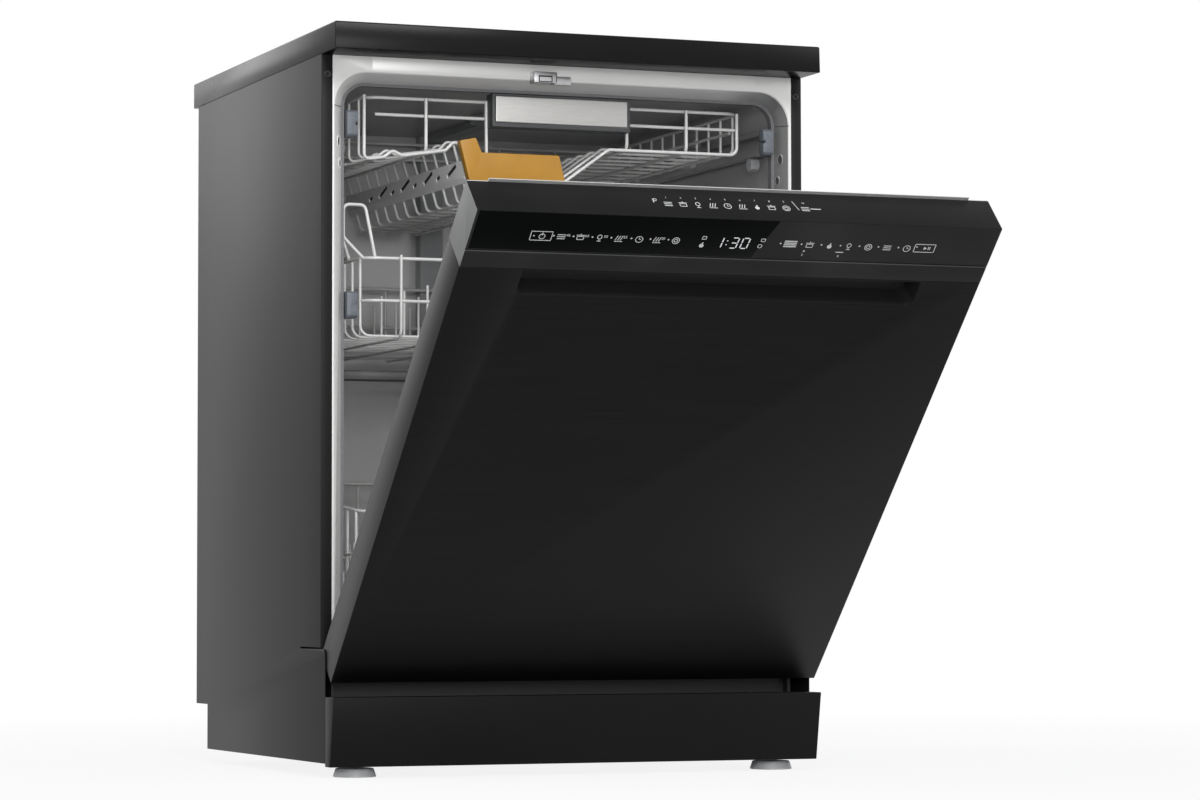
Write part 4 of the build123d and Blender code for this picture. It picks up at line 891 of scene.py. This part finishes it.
for step in range(4):
    marks.bar(0.0592, row - 0.0038 + 0.0024 * step, 0.0145, 0.0014, 0.25)
for symbol, x in ((marks.pot, 0.0815), (marks.drop, 0.1045), (marks.glass, 0.1268), (marks.plate, 0.1495),
                  (marks.plates, 0.1715), (marks.clock, 0.1945)):
    symbol(x, symbol_line)
marks.arrow(0.0775, scale_line, 0.0016)
marks.number("3", 0.0768, scale_foot, 0.0042)
marks.bar(0.1185, scale_line, 0.0088, 0.0012)
marks.number("6", 0.1185, scale_foot, 0.0042)
marks.box(0.2152, start_line, 0.0245, 0.0114)
marks.dot(0.2058, door_foot + 0.6585, 0.0009)
marks.arrow(0.2155, start_line, 0.0026)
for x in (0.2195, 0.2213):
    marks.bar(x, start_line, 0.0009, 0.0042)
marks.fix("option_print", front_face, ink)

# The same pale ink is printed along the door's top edge, where it shows only when the door is open.
# Plain numbers stand there, each over the symbol of its programme.
top_face = Matrix.Translation((0, door_face, door_top + film))
edge_symbols, edge_pitch = 0.021, 0.01671
marks = Print()
symbols = (marks.plates, marks.pot, marks.glass, marks.spray, marks.clock, marks.spray, marks.drop, marks.pot,
           marks.plate)
for step, symbol in enumerate(symbols):
    x = -0.0819 + edge_pitch * step
    marks.number(str(step + 1), x, 0.0315, 0.0036)
    symbol(x, edge_symbols)
marks.bar(0.0636, 0.026, 0.0008, 0.014, -0.3)
marks.number("10", 0.0735, 0.0305, 0.0034)
marks.plates(0.0735, edge_symbols)
marks.bar(0.0855, 0.0215, 0.012, 0.0012)
marks.bar(-0.0975, 0.0255, 0.0009, 0.0062)
marks.ring(-0.0953, 0.0272, 0.0021)
marks.fix("edge_print", top_face, ink)

# The time display glows white through the window: three leaning digits of straight strokes and a colon.
# They are lit segments on the control board, shown here on the face of the glass.
glow_strokes = Finish("display_glow")
soft = glow_strokes.noise(scale=300, detail=2)
glow_strokes.shade(Base_Color=(0.05, 0.05, 0.05), Roughness=0.3 + soft * 0.1,
                   Emission_Color=glow_strokes.mottled(soft, (0.72, 0.76, 0.78), (0.8, 0.83, 0.85)),
                   Emission_Strength=0.8)
strokes = Print()
tall, wide, line, lean = 0.0138, 0.0076, 0.0012, 0.08
digit_line, colon_gap = door_foot + 0.6555, 0.0026


def digit(x, lit):
    """A digit of seven strokes, named by their places."""
    for key, level in (("t", 1), ("m", 0), ("b", -1)):
        if key in lit:
            strokes.bar(x + lean * level * tall / 2, digit_line + level * tall / 2, wide - 2 * line, line)
    for key, hand, level in (("L", -1, 1), ("l", -1, -1), ("R", 1, 1), ("r", 1, -1)):
        if key in lit:
            strokes.bar(x + hand * wide / 2 + lean * level * tall / 4, digit_line + level * tall / 4,
                        line, tall / 2 - line, lean)


digit(-0.0218, "Rr")
for level in (-1, 1):
    strokes.dot(-0.0128 + lean * level * colon_gap, digit_line + level * colon_gap, 0.0007)
digit(-0.0045, "tmbRr")
digit(0.0078, "tbLlRr")
strokes.fix("display_digits", front_face, glow_strokes)

# The inner liner is satin stainless sheet pressed into a shallow dish.
# Its edges are folded and screwed to the outer panel.
liner_steel = Finish("liner_steel")
brushed = liner_steel.noise(scale=22, detail=4, stretch=(90, 4, 4))
liner_steel.shade(Base_Color=liner_steel.mottled(brushed, (0.55, 0.55, 0.545), (0.66, 0.66, 0.655)),
                  Metallic=0.7, Roughness=0.28 + brushed * 0.14)
dress("door_inner_liner", liner_steel)

# The dispenser is a grey moulding let into the liner, with a hinged lid over the detergent and a turning
# cap over the rinse aid. The latch is a dark moulding in the top of the console.
for node in ("dispenser_body", "detergent_lid"):
    softened(node, grey_moulding, edge=0.0006)
softened("rinse_aid_cap", arm_plastic, edge=0.0006)
dress("door_latch", arm_plastic)

# The studio floor is a wide sheet of pale matt paper under the feet.
# It looks white to the eye and in every gloss and glass, and keeps the object's soft shadow.


def plainly_seen(home):
    """One for a ray that shows the studio, and nought for the light that falls on the object."""
    return sum(home.node("ShaderNodeLightPath", {}, {}, ray)
               for ray in ("Is Camera Ray", "Is Glossy Ray", "Is Transmission Ray"))


studio = Finish("studio_floor")
seen = plainly_seen(studio)
glow = studio.node("ShaderNodeEmission", {}, {"Color": (1, 1, 1, 1), "Strength": 1.0})
studio.shade(Base_Color=(0.6, 0.6, 0.6), Roughness=0.9, Specular_IOR_Level=0.1)
far = studio.node("ShaderNodeVectorMath", {"operation": "LENGTH"}, {0: studio.place()}, "Value")
share = studio.rise(far, 0.8, 2.4, 0.87, 1.0)
matt = Signal(studio, studio.surface.outputs[0])
paper = studio.node("ShaderNodeMixShader", {}, {0: seen * share, 1: matt, 2: glow})
studio.feed(studio.tree.nodes["Material Output"].inputs["Surface"], paper)
form = bmesh.new()
bmesh.ops.create_grid(form, x_segments=1, y_segments=1, size=40)
sheet = bpy.data.meshes.new("studio_floor")
form.to_mesh(sheet)
form.free()
sheet.materials.append(studio.material)
floor = bpy.data.objects.new("studio_floor", sheet)
floor.location.z = -0.0005
scene.collection.objects.link(floor)

# A pale dome stands round the floor and gives an even light from all sides.
# The eye and every gloss or glass see it as plain white paper.
world = bpy.data.worlds.new("studio")
scene.world = world
world.use_nodes = True
dome = NodeTree(world.node_tree)
pale = dome.node("ShaderNodeBackground", {}, {"Color": (0.9, 0.95, 1, 1), "Strength": 0.35})
white = dome.node("ShaderNodeBackground", {}, {"Color": (1, 1, 1, 1), "Strength": 1.0})
paper = dome.node("ShaderNodeMixShader", {}, {0: plainly_seen(dome), 1: pale, 2: white})
dome.feed(world.node_tree.nodes["World Output"].inputs["Surface"], paper)

# Five soft boxes light the object: a large one high in front, a low one beside it that looks into the tub,
# one at each side and one behind.


def softbox(name, place, aim, size, power):
    lamp = bpy.data.lights.new(name, "AREA")
    lamp.shape = "RECTANGLE"
    lamp.size, lamp.size_y = size
    lamp.energy = power
    holder = bpy.data.objects.new(name, lamp)
    scene.collection.objects.link(holder)
    holder.location = place
    holder.rotation_euler = (Vector(aim) - Vector(place)).to_track_quat("-Z", "Y").to_euler()
    holder.visible_camera = False


softbox("box_back", (-1.7, 4.2, 2.3), (-0.3, 0.2, 0.7), (2.2, 2.0), 26)
softbox("box_left", (-3.2, 1.0, 2.6), (0, 0, 0.6), (2.4, 2.4), 55)
softbox("box_front", (-0.7, -3.5, 3.3), (0, 0.1, 0.6), (2.4, 1.4), 150)
softbox("box_fill", (-1.2, -3.8, 0.8), (-0.1, 0.1, 0.6), (1.4, 1.0), 70)
softbox("box_right", (3.4, -1.4, 2.2), (0, 0, 0.5), (1.6, 2.2), 45)

# The camera stands low in front and to the left, where the photograph was taken from.
# It looks a little upwards through a long lens, and leans a tenth of a degree.
camera = bpy.data.cameras.new("camera")
camera.sensor_width = 36
camera.lens = 117.37
camera.clip_end = 200
yaw, pitch, roll = math.radians(-21.483), math.radians(2.896), math.radians(-0.1)
ahead = Vector((-math.sin(yaw) * math.cos(pitch), math.cos(yaw) * math.cos(pitch), math.sin(pitch)))
right = Vector((math.cos(yaw), math.sin(yaw), 0))
above = right.cross(ahead)
turned = right * math.cos(roll) + above * math.sin(roll)
above = above * math.cos(roll) - right * math.sin(roll)
tripod = (-1.62246, -4.23366, 0.20126)
eye = bpy.data.objects.new("camera", camera)
scene.collection.objects.link(eye)
eye.matrix_world = Matrix.Translation(tripod) @ axes(turned, above, -ahead)
scene.camera = eye
